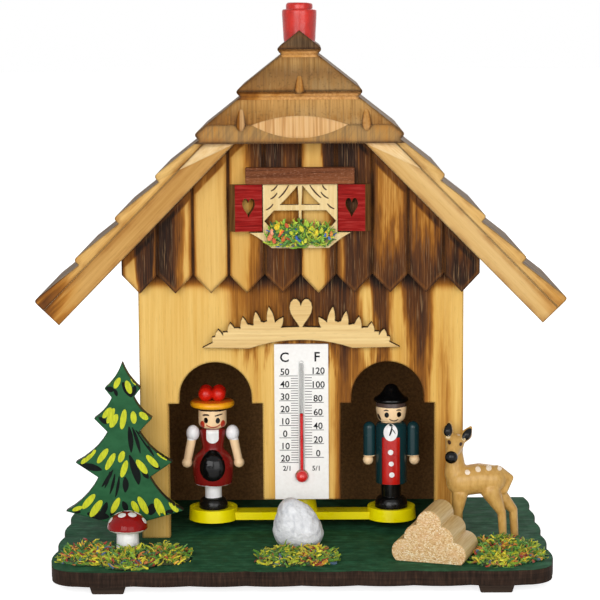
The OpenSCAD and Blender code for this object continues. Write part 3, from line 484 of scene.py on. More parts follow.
@dataclass(frozen=True)
class StreakedWood(Wood):
    """Upright boards whose scorch changes from left to right, as a torch leaves it.

    The levels are pairs of a share of the width and a scorch level. The low levels hold below
    low, and the others above high. Beyond fade_up's first value, the scorch gets lighter from its
    second height to its third. Between soot_and_shade's two heights the boards darken, partly
    soot and partly painted shade under the gable. A shield is a half width and two heights of a
    patch that is spared.
    """

    width: float = 100 * MM
    levels: Levels = ()
    low_levels: Levels = ()
    low: float = 0.0
    high: float = 1.0
    fade_up: Triple | None = None
    soot_and_shade: Pair | None = None
    boards: int = 0
    apex: float = 0.0
    slope: float = 1.018
    shield: Triple = (0.0, 0.0, 0.0)

    def char(self, g: Graph, colour: NodeSocket, fibre: NodeSocket) -> NodeSocket:
        """Scorches the wood by the levels across its width.

        Args:
            g: Node tree.
            colour: Colour of the bare wood.
            fibre: Fibre pattern.

        Returns:
            The scorched colour.
        """
        wander = self.grain(g, 5 * MM, 28 * MM)
        share = g.scaled(g.axis("X"), 1 / self.width, 0.5)
        share = g.plus(share, g.scaled(wander, 0.05, -0.025))
        level = g.ramp(share, self.levels)
        height = g.plus(g.axis("Z"), g.scaled(self.grain(g, 2.2 * MM, 16 * MM), 0.05, -0.025))
        if self.low_levels:
            level = g.blend(g.fade(height, self.low, self.high), g.ramp(share, self.low_levels), level)
        streak = self.grain(g, 0.5 * MM, 34 * MM, detail=5.0, rough=0.62)
        flame = self.grain(g, 2.6 * MM, 22 * MM, detail=4.0, twist=0.4)
        uneven = g.scaled(streak, 2.4, g.scaled(flame, 1.6, -2.0))
        level = g.scaled(g.times(level, uneven), 0.6, level, clamp=True)
        scratch = self.grain(g, 0.3 * MM, 9 * MM, detail=2.0)
        level = g.times(level, g.fade(scratch, 0.66, 0.78, 1.0, 0.7))
        if self.fade_up:
            side, low, high = self.fade_up
            beyond = g.fade(g.axis("X"), side - 6 * MM, side + 6 * MM)
            level = g.times(level, g.rest(g.times(beyond, g.fade(height, low, high, 0.0, 0.6))))
        # Darker band under the gable: partly soot, partly painted shade.
        if self.soot_and_shade:
            level = g.plus(level, g.fade(g.axis("Z"), *self.soot_and_shade, 0.0, 0.8), clamp=True)
        if self.boards:
            level = self.seams(g, level, flame)
        hair = g.times(g.fade(scratch, 0.56, 0.76, 0.0, 0.5), g.fade(level, 0.3, 0.7))
        dark = g.times(g.fade(scratch, 0.44, 0.3, 0.0, 0.6), g.fade(level, 0.15, 0.5))
        return g.blend(dark, g.blend(hair, charred(g, colour, level), "#a8855c"), "#26150d")

    def seams(self, g: Graph, level: NodeSocket, flame: NodeSocket) -> NodeSocket:
        """Spares the shielded patch, chars the seams, and darkens the line under the roof, partly as scorch
        and partly as painted shadow.

        Args:
            g: Node tree.
            level: Scorch level of the boards.
            flame: Pattern of the scorch.

        Returns:
            The new level.
        """
        x = g.width(g.axis("X"))
        half, low, high = self.shield
        tall = g.between(g.axis("Z"), (low, low + 4 * MM), (high, high - 4 * MM))
        near = g.times(g.fade(x, half + 2 * MM, half - 2 * MM), tall)
        level = g.times(level, g.rest(g.times(near, 0.55)))
        pitch = self.width / self.boards
        share = g.math("FRACT", g.scaled(g.axis("X"), 1 / pitch, 10.0 + 0.5 * (self.boards % 2)))
        gap = g.times(g.math("MINIMUM", share, g.rest(share)), pitch)
        soft = g.times(g.fade(gap, 2.2 * MM, 0.4 * MM, 0.0, 0.5), flame)
        seam = g.plus(g.fade(gap, 0.55 * MM, 0.2 * MM, 0.0, 0.95), soft)
        # Painted shadow under the roof: a line along the roof's underside, partly scorch and partly the
        # roof's shadow.
        under = g.math("SUBTRACT", self.apex, g.scaled(x, self.slope, g.axis("Z")))
        line = g.times(g.fade(under, 2.0 * MM, 0.6 * MM, 0.0, 0.35), g.fade(flame, 0.2, 0.6, 0.5, 1.0))
        return g.plus(level, g.math("MAXIMUM", seam, line), clamp=True)


@dataclass(frozen=True)
class RoofBoard(Wood):
    """Roof board: tan edges, and a fresh pale cut where it runs under the hip."""

    def char(self, g: Graph, colour: NodeSocket, fibre: NodeSocket) -> NodeSocket:
        """Scorches the eave and leaves the carved facet pale.

        Args:
            g: Node tree.
            colour: Colour of the bare wood.
            fibre: Fibre pattern.

        Returns:
            The scorched colour.
        """
        colour = charred(g, colour, eave_burn(g, self.grain(g, 3.5 * MM, 40 * MM, detail=4.0)))
        facet = g.between(g.facing("Y"), (-0.99, -0.97), (-0.2, -0.35))
        fresh = g.ramp(fibre, [(0.3, "#e0ba7e"), (0.7, "#f2d8a6")])
        return g.blend(g.times(facet, 0.92), colour, fresh)


@dataclass(frozen=True)
class Shingle(Wood):
    """Shingles: weathered tops, scorched lower edges with painted shade on the faces that turn down, tan
    ends.
    """

    def char(self, g: Graph, colour: NodeSocket, fibre: NodeSocket) -> NodeSocket:
        """Weathers the faces that look up, paints shade on the front faces that turn down, and leaves the
        ends tan.

        Args:
            g: Node tree.
            colour: Colour of the bare wood.
            fibre: Fibre pattern.

        Returns:
            The weathered colour.
        """
        colour = charred(g, colour, eave_burn(g, self.grain(g, 3 * MM, 30 * MM, detail=4.0)))
        streak = self.grain(g, 1.0 * MM, 60 * MM, Axis.Z, detail=4.0)
        grey = g.ramp(g.mean(streak, 0.6, g.noise(14 * MM)),
                      [(0.3, "#4a3828"), (0.5, "#7c6650"), (0.68, "#a08a70")])
        up = g.facing("Z")
        front = g.fade(g.facing("Y"), -0.45, -0.2)
        colour = g.blend(g.times(g.fade(up, 0.35, 0.6), front), colour, grey)
        # Painted shade: front faces darken the further they turn down.
        return g.blend(g.times(g.fade(up, 0.45, -0.4), g.times(front, 0.7)), colour, "#4d3524")


@dataclass(frozen=True)
class HipWood(Wood):
    """Hip: scorched slopes that darken upwards, pale coves and a pale gouge."""

    low: float = 142 * MM
    high: float = 178 * MM
    coves: Pair = (156.3 * MM, 170.2 * MM)
    gouge_half: float = 19 * MM
    gouge_top: float = 153.8 * MM

    def char(self, g: Graph, colour: NodeSocket, fibre: NodeSocket) -> NodeSocket:
        """Scorches the slopes and leaves the coves and the gouge pale.

        Args:
            g: Node tree.
            colour: Colour of the bare wood.
            fibre: Fibre pattern.

        Returns:
            The scorched colour.
        """
        cloud = g.noise(9 * MM)
        speck = g.noise(0.9 * MM)
        left = g.fade(g.axis("X"), 4 * MM, -24 * MM, 0.0, 0.18)
        up = g.facing("Z")
        colour = g.blend(g.fade(up, 0.5, 0.56), self.carved(g, cloud, speck, left),
                         self.slopes(g, colour, cloud, speck, left))
        return g.blend(g.between(up, (-0.03, -0.01), (0.2, 0.1)), colour, self.band(g, cloud))

    def slopes(self, g: Graph, colour: NodeSocket, cloud: NodeSocket, speck: NodeSocket,
               left: NodeSocket) -> NodeSocket:
        """Scorches the three slopes, with gold under the coves and a dark top.

        Args:
            g: Node tree.
            colour: Colour of the bare wood.
            cloud: Broad pattern.
            speck: Fine pattern.
            left: Extra scorch on the left.

        Returns:
            The slopes' colour.
        """
        z = g.axis("Z")
        streak = self.grain(g, 0.6 * MM, 30 * MM, detail=5.0, rough=0.6)
        top = (self.high - 11 * MM, self.high - 7 * MM)
        climb = g.fade(z, self.low + 16 * MM, self.high - 4 * MM, 0.1, 0.5)
        climb = g.plus(climb, g.fade(z, *top, 0.0, 0.2))
        uneven = g.scaled(streak, 0.65, g.scaled(cloud, 0.6, -0.58))
        level = g.plus(g.plus(climb, left), uneven, clamp=True)
        weathered = g.ramp(g.mean(streak, 0.6, cloud),
                           [(0.36, "#4d3b28"), (0.5, "#7b6243"), (0.64, "#a1835a")])
        aged = g.fade(z, self.low + 8 * MM, self.high - 6 * MM, 0.3, 0.75)
        slope = g.blend(aged, charred(g, colour, level), weathered)
        slope = g.blend(g.fade(speck, 0.56, 0.68, 0.0, 0.4), slope, "#4a3521")
        gold = g.ramp(streak, [(0.35, "#a9773a"), (0.65, "#dcae68")])
        for cove in self.coves:
            under = g.between(z, (cove - 7 * MM, cove - 1 * MM, 0.0, 0.65), (cove + 0.8 * MM, cove))
            slope = g.blend(under, slope, gold)
        rib = g.noise((0.6 * MM, 30 * MM, 30 * MM), detail=1.0)
        slope = g.blend(g.fade(rib, 0.5, 0.66, 0.0, 0.24), slope, "#3e2c1b")
        smoked = g.ramp(streak, [(0.35, "#2c2018"), (0.65, "#6a523c")])
        return g.blend(g.fade(z, *top, 0.0, 0.6), slope, smoked)

    def carved(self, g: Graph, cloud: NodeSocket, speck: NodeSocket, left: NodeSocket) -> NodeSocket:
        """Colours the coves and the gouge.

        Args:
            g: Node tree.
            cloud: Broad pattern.
            speck: Fine pattern.
            left: Extra scorch on the left.

        Returns:
            The carved colour.
        """
        singed = g.scaled(cloud, 0.9, g.scaled(left, 1.2, -0.36), clamp=True)
        cove = charred(g, g.ramp(speck, [(0.35, "#b27f45"), (0.65, "#cf9d60")]), singed)
        cut = g.ramp(self.grain(g, 0.7 * MM, 40 * MM),
                     [(0.3, "#b98448"), (0.45, "#cfa26b"), (0.7, "#d8b17f")])
        line = g.noise((1.2 * MM, 40 * MM, 40 * MM), detail=2.0)
        cut = g.blend(g.fade(line, 0.55, 0.66, 0.0, 0.55), cut, "#a87540")
        wide = g.fade(g.width(g.axis("X")), self.gouge_half + 0.5 * MM, self.gouge_half)
        middle = g.times(wide, g.fade(g.axis("Z"), self.gouge_top + 0.4 * MM, self.gouge_top))
        return g.blend(middle, cove, cut)

    def band(self, g: Graph, cloud: NodeSocket) -> NodeSocket:
        """Colours the upright band along the hip's foot.

        Args:
            g: Node tree.
            cloud: Broad pattern.

        Returns:
            The band's colour.
        """
        upright = g.noise((0.7 * MM, 6 * MM, 20 * MM), detail=4.0)
        level = g.scaled(upright, 0.4, g.scaled(cloud, 0.3, -0.24), clamp=True)
        band = charred(g, g.ramp(upright, [(0.35, "#8a6b43"), (0.65, "#a17f50")]), level)
        slant = g.noise((1.4 * MM, 8 * MM, 9 * MM), (0.0, 0.6, 0.0), detail=4.0)
        return g.blend(g.fade(slant, 0.42, 0.68, 0.0, 0.4), band, "#755a3c")


@dataclass(frozen=True)
class Board(Wood):
    """Sheet wood: faces of one wood, and sawn sides of a burnt brown."""

    side: str = "#4a2f1a"

    def char(self, g: Graph, colour: NodeSocket, fibre: NodeSocket) -> NodeSocket:
        """Darkens the sawn sides."""
        flat = g.fade(g.width(g.facing("Y")), 0.55, 0.8)
        return g.blend(flat, g.blend(fibre, self.side, self.burnt), colour)


@dataclass(frozen=True)
class FleckedWood(Wood):
    """Open-pored wood with pale flecks along its grain."""

    fleck: str = "#c49474"

    def char(self, g: Graph, colour: NodeSocket, fibre: NodeSocket) -> NodeSocket:
        """Lays pale and dark flecks over the grain.

        Args:
            g: Node tree.
            colour: Colour of the bare wood.
            fibre: Fibre pattern.

        Returns:
            The flecked colour.
        """
        short = self.grain(g, 0.2 * MM, 1.1 * MM, detail=2.0)
        colour = g.blend(g.fade(short, 0.57, 0.72, 0.0, 0.5), colour, self.fleck)
        return g.blend(g.fade(short, 0.43, 0.32, 0.0, 0.5), colour, self.burnt)


@dataclass(frozen=True)
class Hardboard(Wood):
    """Hardboard: dark and smooth outside, lighter and mealy inside."""

    def char(self, g: Graph, colour: NodeSocket, fibre: NodeSocket) -> NodeSocket:
        """Lightens the side that looks into the house."""
        inner = g.ramp(g.noise(0.8 * MM, detail=4.0), [(0.35, "#664828"), (0.65, "#835f38")])
        return g.blend(g.fade(g.facing("Y"), -0.5, -0.8), colour, inner)


@dataclass(frozen=True)
class Logs(Wood):
    """Pale logs: smooth bark side and rough flecked end grain."""

    lie: float = 18.0

    def mix(self, g: Graph) -> None:
        """Lays smooth sides and flecked ends.

        Args:
            g: Node tree.
        """
        lie = math.radians(self.lie)
        spin = (0.0, 0.0, -lie)
        fibre = g.noise((0.5 * MM, 14 * MM, 0.5 * MM), spin)
        smooth = g.ramp(fibre, [(0.35, self.deep), (0.65, self.pale)])
        fleck = g.cells((0.45 * MM, 2 * MM, 0.32 * MM), spin)
        rough = g.ramp(fleck.outputs["Color"],
                       [(0.1, "#bd9058"), (0.45, "#d6b17a"), (0.75, "#e8cfa2"), (0.95, "#f7e9cc")])
        rough = g.blend(g.fade(g.noise(3 * MM), 0.35, 0.7, 0.0, 0.35), rough, "#d9a678")
        normal = g.add("ShaderNodeTexCoord").outputs["Normal"]
        end = g.fade(g.width(g.dot(normal, (math.sin(lie), math.cos(lie), 0.0))), 0.6, 0.8)
        g.set(Base_Color=g.blend(end, smooth, rough), Roughness=g.fade(end, 0.0, 1.0, 0.5, 0.85))
        height = g.times(g.rest(fleck.outputs["Distance"]), end)
        g.relief(g.scaled(fibre, 0.15, height), 0.4 * MM)


@dataclass(frozen=True, kw_only=True)
class Coating(Finish):
    """Base of the paints: slight unevenness, gloss and brush marks."""

    rough: float = 0.25
    gloss: float = 0.3
    stroke: float | Triple = (1.5 * MM, 1.5 * MM, 6 * MM)
    depth: float = 0.04 * MM
    metal: float = 0.0

    def base(self, g: Graph, streak: NodeSocket) -> NodeSocket:
        """Colour over the pattern of the strokes, which each paint has of its own."""
        raise NotImplementedError

    def mix(self, g: Graph) -> None:
        """Lays the colour, the gloss and the brush marks.

        Args:
            g: Node tree.
        """
        streak = g.noise(self.stroke)
        cloud = g.noise(5 * MM, detail=2.0)
        dull = g.fade(cloud, 0.3, 0.7, self.rough - 0.06, self.rough + 0.08)
        g.set(Base_Color=self.base(g, streak), Roughness=dull, Specular_IOR_Level=self.gloss,
              Metallic=self.metal)
        g.relief(streak, self.depth)


@dataclass(frozen=True)
class Paint(Coating):
    """Brushed or dipped paint, or moulded plastic, in one colour and its shade."""

    colour: str
    shade: str

    def base(self, g: Graph, streak: NodeSocket) -> NodeSocket:
        """Colour of the paint over the pattern of the strokes."""
        return g.ramp(streak, [(0.3, self.shade), (0.62, self.colour)])


@dataclass(frozen=True)
class BandPaint(Coating):
    """Turned piece painted in bands, with hair at the back of the head.

    The bands are pairs of a height above the foot, in millimetres, and a colour.
    """

    bands: tuple[tuple[float, str], ...]
    foot: float
    tall: float = 40 * MM
    hair: str = ""
    hair_from: float = 0.0
    back: float = 0.0

    def base(self, g: Graph, streak: NodeSocket) -> NodeSocket:
        """Colour of each band, with slightly wavy borders.

        Args:
            g: Node tree.
            streak: Pattern of the strokes.

        Returns:
            The colour socket.
        """
        wave = g.noise(2.2 * MM, detail=1.0)
        z = g.plus(g.axis("Z"), g.scaled(wave, 0.5 * MM, -0.25 * MM))
        share = g.scaled(z, 1 / self.tall, -self.foot / self.tall)
        colour = g.ramp(share, [(height * MM / self.tall, code) for height, code in self.bands], step=True)
        if self.hair:
            behind = g.math("GREATER_THAN", g.axis("Y"), self.back)
            above = g.math("GREATER_THAN", share, self.hair_from * MM / self.tall)
            colour = g.blend(g.times(behind, above), colour, self.hair)
        dim = g.blend(1.0, colour, "#b0a8a0", "MULTIPLY")
        return g.blend(g.fade(streak, 0.35, 0.65, 0.85, 1.0), dim, colour)


@dataclass(frozen=True)
class ShutterPaint(Paint):
    """Red paint with brushed streaks on the face, and bare brown sides."""

    worn: str = "#a83a34"
    side: str = "#6a4a26"
    side_shade: str = "#40270f"

    def base(self, g: Graph, streak: NodeSocket) -> NodeSocket:
        """Paints the face red and leaves the sides and the bevel brown.

        Args:
            g: Node tree.
            streak: Pattern of the strokes.

        Returns:
            The colour socket.
        """
        scratch = g.noise((9 * MM, 9 * MM, 0.45 * MM), detail=4.0)
        red = g.ramp(scratch, [(0.34, self.shade), (0.52, self.colour), (0.76, self.worn)])
        bare = g.noise((1 * MM, 1 * MM, 10 * MM))
        brown = g.ramp(bare, [(0.3, self.side_shade), (0.7, self.side)])
        return g.blend(g.fade(g.facing("Y"), -0.86, -0.93), brown, red)


@dataclass(frozen=True)
class SheetPaint(Paint):
    """Paint on the faces of a sawn sheet, with dark sides and arrises."""

    side: str = "#2b2a1e"
    worn: str = "#131a12"

    def base(self, g: Graph, streak: NodeSocket) -> NodeSocket:
        """Paints the faces and darkens the sawn sides.

        Args:
            g: Node tree.
            streak: Pattern of the strokes.

        Returns:
            The colour socket.
        """
        face = g.ramp(streak, [(0.32, self.shade), (0.64, self.colour)])
        face = g.blend(g.times(g.arris(0.7 * MM), 0.8), face, self.worn)
        return g.blend(g.fade(g.width(g.facing("Y")), 0.55, 0.8), self.side, face)


@dataclass(frozen=True)
class Stained(Paint):
    """Green-stained plywood with burnt sides."""

    bright: str = "#387050"
    worn: str = "#20180f"

    def base(self, g: Graph, streak: NodeSocket) -> NodeSocket:
        """Stains the top and burns the sides.

        Args:
            g: Node tree.
            streak: Pattern of the strokes.

        Returns:
            The colour socket.
        """
        grain = g.noise((22 * MM, 0.8 * MM, 0.8 * MM), detail=4.0)
        mottle = g.noise((4 * MM, 3 * MM, 3 * MM), detail=5.0, rough=0.65)
        green = g.ramp(g.mean(grain, 0.4, mottle),
                       [(0.34, self.shade), (0.5, self.colour), (0.64, self.bright)])
        green = g.blend(g.times(g.arris(1.0 * MM), 0.75), green, self.worn)
        ply = g.noise((30 * MM, 30 * MM, 0.9 * MM), detail=2.0)
        sawn = g.noise((0.6 * MM, 0.6 * MM, 5 * MM))
        side = g.ramp(g.mean(ply, 0.35, sawn), [(0.38, "#1d140e"), (0.55, "#30221a"), (0.68, "#402e22")])
        return g.blend(g.fade(g.facing("Z"), 0.6, 0.85), side, green)


@dataclass(frozen=True)
class FawnCoat(Paint):
    """Satin fawn paint, darker on the back and the lower legs."""

    foot: float = 8.2 * MM
    back: str = "#b98c4c"
    legs: str = "#9c7136"

    def base(self, g: Graph, streak: NodeSocket) -> NodeSocket:
        """Shades the coat by height and by what faces up.

        Args:
            g: Node tree.
            streak: Pattern of the strokes.

        Returns:
            The colour socket.
        """
        coat = g.ramp(streak, [(0.3, self.shade), (0.65, self.colour)])
        coat = g.blend(g.fade(g.facing("Z"), 0.1, 0.9, 0.0, 0.3), coat, self.back)
        low = g.fade(g.axis("Z"), self.foot + 9 * MM, self.foot + 2 * MM, 0.0, 0.35)
        return g.blend(low, coat, self.legs)


@dataclass(frozen=True)
class Quartz(Finish):
    """Rough white quartz with faint grey veins."""

    def mix(self, g: Graph) -> None:
        """Lays veins, grit and chips.

        Args:
            g: Node tree.
        """
        vein = g.noise(3 * MM, detail=5.0, twist=1.2)
        colour = g.ramp(vein, [(0.28, "#b9bcc1"), (0.46, "#d2d3d6"), (0.7, "#e4e5e7")])
        grit = g.cells(0.7 * MM).outputs["Distance"]
        chips = g.cells(2.6 * MM).outputs["Distance"]
        g.set(Base_Color=colour, Roughness=g.fade(vein, 0.3, 0.7, 0.7, 0.4),
              Subsurface_Weight=0.15, Subsurface_Radius=(1 * MM, 1 * MM, 1 * MM))
        g.relief(g.scaled(grit, 0.35, chips), 0.5 * MM, 0.8)


@dataclass(frozen=True)
class Glass(Finish):
    """Clear thin glass, red up to where the liquid fills the bulb."""

    bulb: float

    def mix(self, g: Graph) -> None:
        """Lays clear glass over the red bulb.

        Args:
            g: Node tree.
        """
        smear = g.noise((1 * MM, 1 * MM, 8 * MM), detail=2.0)
        clear = g.fade(g.axis("Z"), self.bulb - 0.3 * MM, self.bulb)
        red = g.ramp(smear, [(0.3, "#c41216"), (0.7, "#dc2a22")])
        pale = g.ramp(smear, [(0.3, "#dcdddd"), (0.7, "#ececec")])
        g.set(Base_Color=g.blend(clear, red, pale), Transmission_Weight=clear, Coat_Weight=g.rest(clear),
              Roughness=0.0, IOR=1.08)


@dataclass(frozen=True)
class Twisted(Finish):
    """Twisted gut: three strands that wind round an upright cord."""

    centre: Triple
    lay: float = 3.2 * MM
    strands: int = 3

    def mix(self, g: Graph) -> None:
        """Lays the strands, with painted shade in the grooves between them and lighter crests.

        Args:
            g: Node tree.
        """
        x = g.math("SUBTRACT", g.axis("X"), self.centre[0])
        y = g.math("SUBTRACT", g.axis("Y"), self.centre[1])
        climb = g.times(g.axis("Z"), self.strands * FULL_TURN / self.lay)
        turn = g.scaled(g.math("ARCTAN2", y, x), float(self.strands), climb)
        strand = g.scaled(g.math("SINE", turn), 0.5, 0.5)
        # Painted shade in the grooves between the strands, lighter on their crests.
        g.set(Base_Color=g.ramp(strand, [(0.1, "#8a6a38"), (0.7, "#d8b878")]),
              Roughness=g.fade(strand, 0.0, 1.0, 0.5, 0.32))
        g.relief(strand, 0.15 * MM)


@dataclass(frozen=True)
class Dyed(Finish):
    """Dyed shreds, each in the colour of its own attribute."""

    def mix(self, g: Graph) -> None:
        """Lays each shred's dye with darker spots.

        Args:
            g: Node tree.
        """
        own = g.add("ShaderNodeAttribute", attribute_name="dye").outputs["Color"]
        spot = g.noise(0.6 * MM, detail=2.0)
        dim = g.blend(1.0, own, "#8a8a8a", "MULTIPLY")
        g.set(Base_Color=g.blend(g.fade(spot, 0.35, 0.65, 0.0, 0.35), own, dim),
              Roughness=g.fade(spot, 0.3, 0.7, 0.5, 0.75), Sheen_Weight=0.2)


@dataclass(frozen=True)
class Paper(Finish):
    """Pale floor paper, which the camera sees nearly white."""

    glow: float

    def mix(self, g: Graph) -> None:
        """Lays the paper's tooth and its glow.

        Args:
            g: Node tree.
        """
        tooth = g.ramp(g.noise(2 * MM, detail=2.0), [(0.3, "#eeeeee"), (0.7, "#f4f4f4")])
        g.set(Base_Color=tooth, Roughness=0.9, Emission_Color=tint("#ffffff"),
              Emission_Strength=g.times(seen(g), self.glow))


def seen(g: Graph) -> NodeSocket:
    """Mask of the rays that see a thing directly, in gloss or through glass.

    Args:
        g: Node tree.

    Returns:
        The mask socket.
    """
    path = g.add("ShaderNodeLightPath").outputs
    either = g.math("MAXIMUM", path["Is Camera Ray"], path["Is Glossy Ray"])
    return g.math("MAXIMUM", either, path["Is Transmission Ray"])


def add_object(name: str, data: Any) -> Object:
    """Adds an object to the scene.

    Args:
        name: Its name.
        data: Its mesh, camera, lamp or curve.

    Returns:
        The object.
    """
    obj = bpy.data.objects.new(name, data)
    bpy.context.scene.collection.objects.link(obj)
    return obj


def cast(name: str, bm: BMesh) -> Mesh:
    """Turns a bmesh into a mesh and frees it.

    Args:
        name: Mesh's name.
        bm: Shape to turn.

    Returns:
        The mesh.
    """
    mesh = bpy.data.meshes.new(name)
    bm.to_mesh(mesh)
    bm.free()
    return mesh


def pour(bm: BMesh, mesh: Mesh) -> None:
    """Adds a mesh to a bmesh and removes it."""
    bm.from_mesh(mesh)
    bpy.data.meshes.remove(mesh)


def smooth(mesh: Mesh) -> None:
    """Shades every face smooth."""
    mesh.polygons.foreach_set("use_smooth", [True] * len(mesh.polygons))


class Workshop:
    """Dresses CAD nodes and turns finished bmeshes into pieces."""

    FLAT: ClassVar[float] = 0.6

    def __init__(self, nodes: dict[str, Object]) -> None:
        """Keeps the CAD nodes by name."""
        self.nodes = nodes

    def dress(self, node: str, finish: Finish, arris: float = 0.25 * MM, cuts: int = 2,
              angle: float = 32.0) -> Object:
        """Keeps a CAD node, rounds its arrises and gives it a finish.

        Args:
            node: Node's name.
            finish: Its finish.
            arris: Width of the rounding, in metres.
            cuts: Facets of the rounding.
            angle: Smallest angle between faces that is rounded, in degrees.

        Returns:
            The node's object.
        """
        obj = self.nodes[node]
        mesh = obj.data
        if "custom_normal" in mesh.attributes:
            mesh.attributes.remove(mesh.attributes["custom_normal"])
        smooth(mesh)
        obj.modifiers.new("weld", "WELD").merge_threshold = WELD
        flat = obj.modifiers.new("flat", "DECIMATE")
        flat.decimate_type = "DISSOLVE"
        flat.angle_limit = math.radians(self.FLAT)
        rounding = obj.modifiers.new("arris", "BEVEL")
        rounding.width = arris
        rounding.segments = cuts
        rounding.profile = 0.5
        rounding.limit_method = "ANGLE"
        rounding.angle_limit = math.radians(angle)
        rounding.harden_normals = True
        rounding.material = -1
        mesh.materials.clear()
        mesh.materials.append(finish.get())
        LOG.info("dressed %s", node)
        return obj

    def piece(self, name: str, bm: BMesh, finish: Finish, body: Body, slot: str,
              stands_for: Sequence[str] = (), crease: float = 40.0) -> Object:
        """Makes a piece that rides on a body.

        Args:
            name: Piece's name.
            bm: Its mesh, which is freed.
            finish: Its finish.
            body: Body that it rides on.
            slot: Material slot of the record; not used.
            stands_for: CAD nodes that it replaces.
            crease: Angle from which an edge stays sharp, in degrees.

        Returns:
            The piece's object.
        """
        mesh = cast(name, bm)
        smooth(mesh)
        mesh.set_sharp_from_angle(angle=math.radians(crease))
        mesh.materials.append(finish.get())
        obj = add_object(name, mesh)
        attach(obj, body.value)
        if stands_for:
            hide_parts(*stands_for)
        LOG.info("made %s, %d faces", name, len(mesh.polygons))
        return obj

    def merged(self, node: str) -> BMesh:
        """Copies a CAD node and joins its triangles.

        Args:
            node: Node's name.

        Returns:
            The copy.
        """
        bm = bmesh.new()
        bm.from_mesh(self.nodes[node].data)
        bmesh.ops.remove_doubles(bm, verts=bm.verts, dist=WELD)
        return bm

    def remeshed(self, node: str, voxel: float, rounds: int) -> BMesh:
        """Makes an even, smoothed copy of a CAD node.

        Args:
            node: Node's name.
            voxel: Size of the even faces, in metres.
            rounds: Rounds of smoothing.

        Returns:
            The new mesh.
        """
        mesh = cast("even", self.merged(node))
        obj = add_object("even", mesh)
        even = obj.modifiers.new("even", "REMESH")
        even.mode = "VOXEL"
        even.voxel_size = voxel
        bm = bmesh.new()
        bm.from_object(obj, bpy.context.evaluated_depsgraph_get())
        bpy.data.objects.remove(obj)
        bpy.data.meshes.remove(mesh)
        for _ in range(rounds):
            bmesh.ops.smooth_vert(bm, verts=bm.verts, factor=0.5, use_axis_x=True, use_axis_y=True,
                                  use_axis_z=True)
        return bm


class Brush:
    """Lays thin shapes of paint on a carrier, along a ray."""

    REACH: ClassVar[float] = 30 * MM
    AROUND: ClassVar[int] = 24
    STEPS: ClassVar[int] = 12

    def __init__(self, carrier: Mesh, lift: float) -> None:
        """Starts an empty coat, laid from the front.

        Args:
            carrier: Mesh that carries the paint.
            lift: Thickness of the paint over the carrier.
        """
        points = [v.co for v in carrier.vertices]
        self.tree = BVHTree.FromPolygons(points, [p.vertices for p in carrier.polygons])
        self.aim(Vector((0.0, 1.0, 0.0)))
        self.lift = lift
        self.bm = bmesh.new()

    def aim(self, ray: Vector) -> None:
        """Turns the brush to another ray.

        Args:
            ray: Direction in which the shapes are laid.
        """
        self.ray = ray.normalized()
        right = self.ray.cross(Vector((0.0, 0.0, 1.0)))
        self.right = right.normalized() if right.length > 1e-3 else Vector((1.0, 0.0, 0.0))
        self.up = self.right.cross(self.ray)

    def lay(self, flat: BMesh, at: Triple) -> None:
        """Drops a flat shape on the carrier and gives it thickness.

        Args:
            flat: Shape in the brush's own right and up; it is freed.
            at: Point that the shape's origin is laid at.
        """
        for v in flat.verts:
            start = Vector(at) + self.right * v.co.x + self.up * v.co.y
            hit = self.tree.ray_cast(start - self.ray * self.REACH, self.ray)[0]
            if hit is None:
                hit = self.tree.find_nearest(start)[0]
            v.co = hit + self.ray * self.lift
        top = bmesh.ops.extrude_face_region(flat, geom=list(flat.faces), use_keep_orig=True)
        moved = [v for v in top["geom"] if isinstance(v, BMVert)]
        bmesh.ops.translate(flat, verts=moved, vec=-2 * self.lift * self.ray)
        bmesh.ops.recalc_face_normals(flat, faces=flat.faces)
        pour(self.bm, cast("part", flat))

    def oval(self, at: Triple, half: Pair, turn: float = 0.0, egg: float = 0.0, cuts: int = 2) -> None:
        """Lays an oval or egg-shaped dab.

        Args:
            at: Its middle, in metres.
            half: Half width and half height, in millimetres.
            turn: Its turn, in degrees.
            egg: How much narrower it is at the top.
            cuts: Rings of faces, for a rounded carrier.
        """
        flat = bmesh.new()
        bmesh.ops.create_circle(flat, cap_ends=True, cap_tris=True, segments=self.AROUND, radius=1.0)
        spokes = [e for e in flat.edges if not e.is_boundary]
        bmesh.ops.subdivide_edges(flat, edges=spokes, cuts=cuts)
        for v in flat.verts:
            v.co.x *= half[0] * MM * (1 - egg * (v.co.y + 1) / 2)
            v.co.y *= half[1] * MM
        bmesh.ops.rotate(flat, verts=flat.verts, matrix=Matrix.Rotation(math.radians(turn), 3, "Z"))
        self.lay(flat, at)

    def line(self, at: Triple, path: Sequence[Pair], width: float, taper: float = 0.5, cuts: int = 2) -> None:
        """Lays a stroke along a curve of three points.

        Args:
            at: Origin of the path, in metres.
            path: Start, control point and end, to the right and up, in millimetres.
            width: Width in the middle, in millimetres.
            taper: Share of the width that the ends lose.
            cuts: Faces across the stroke, for a rounded carrier.
        """
        flat = bmesh.new()
        bmesh.ops.create_grid(flat, x_segments=self.STEPS, y_segments=cuts, size=1.0)
        a, b, c = (Vector((x * MM, z * MM, 0.0)) for x, z in path)
        for v in flat.verts:
            s = (v.co.x + 1) / 2
            along = (2 * (1 - s) * (b - a) + 2 * s * (c - b)).normalized()
            half = width * MM / 2 * (1 - taper * v.co.x ** 2) * v.co.y
            curve = (1 - s) ** 2 * a + 2 * s * (1 - s) * b + s * s * c
            v.co = curve + half * Vector((-along.y, along.x, 0.0))
        self.lay(flat, at)

    def ready(self) -> BMesh:
        """Gives the coat's mesh and starts a new one."""
        done, self.bm = self.bm, bmesh.new()
        return done


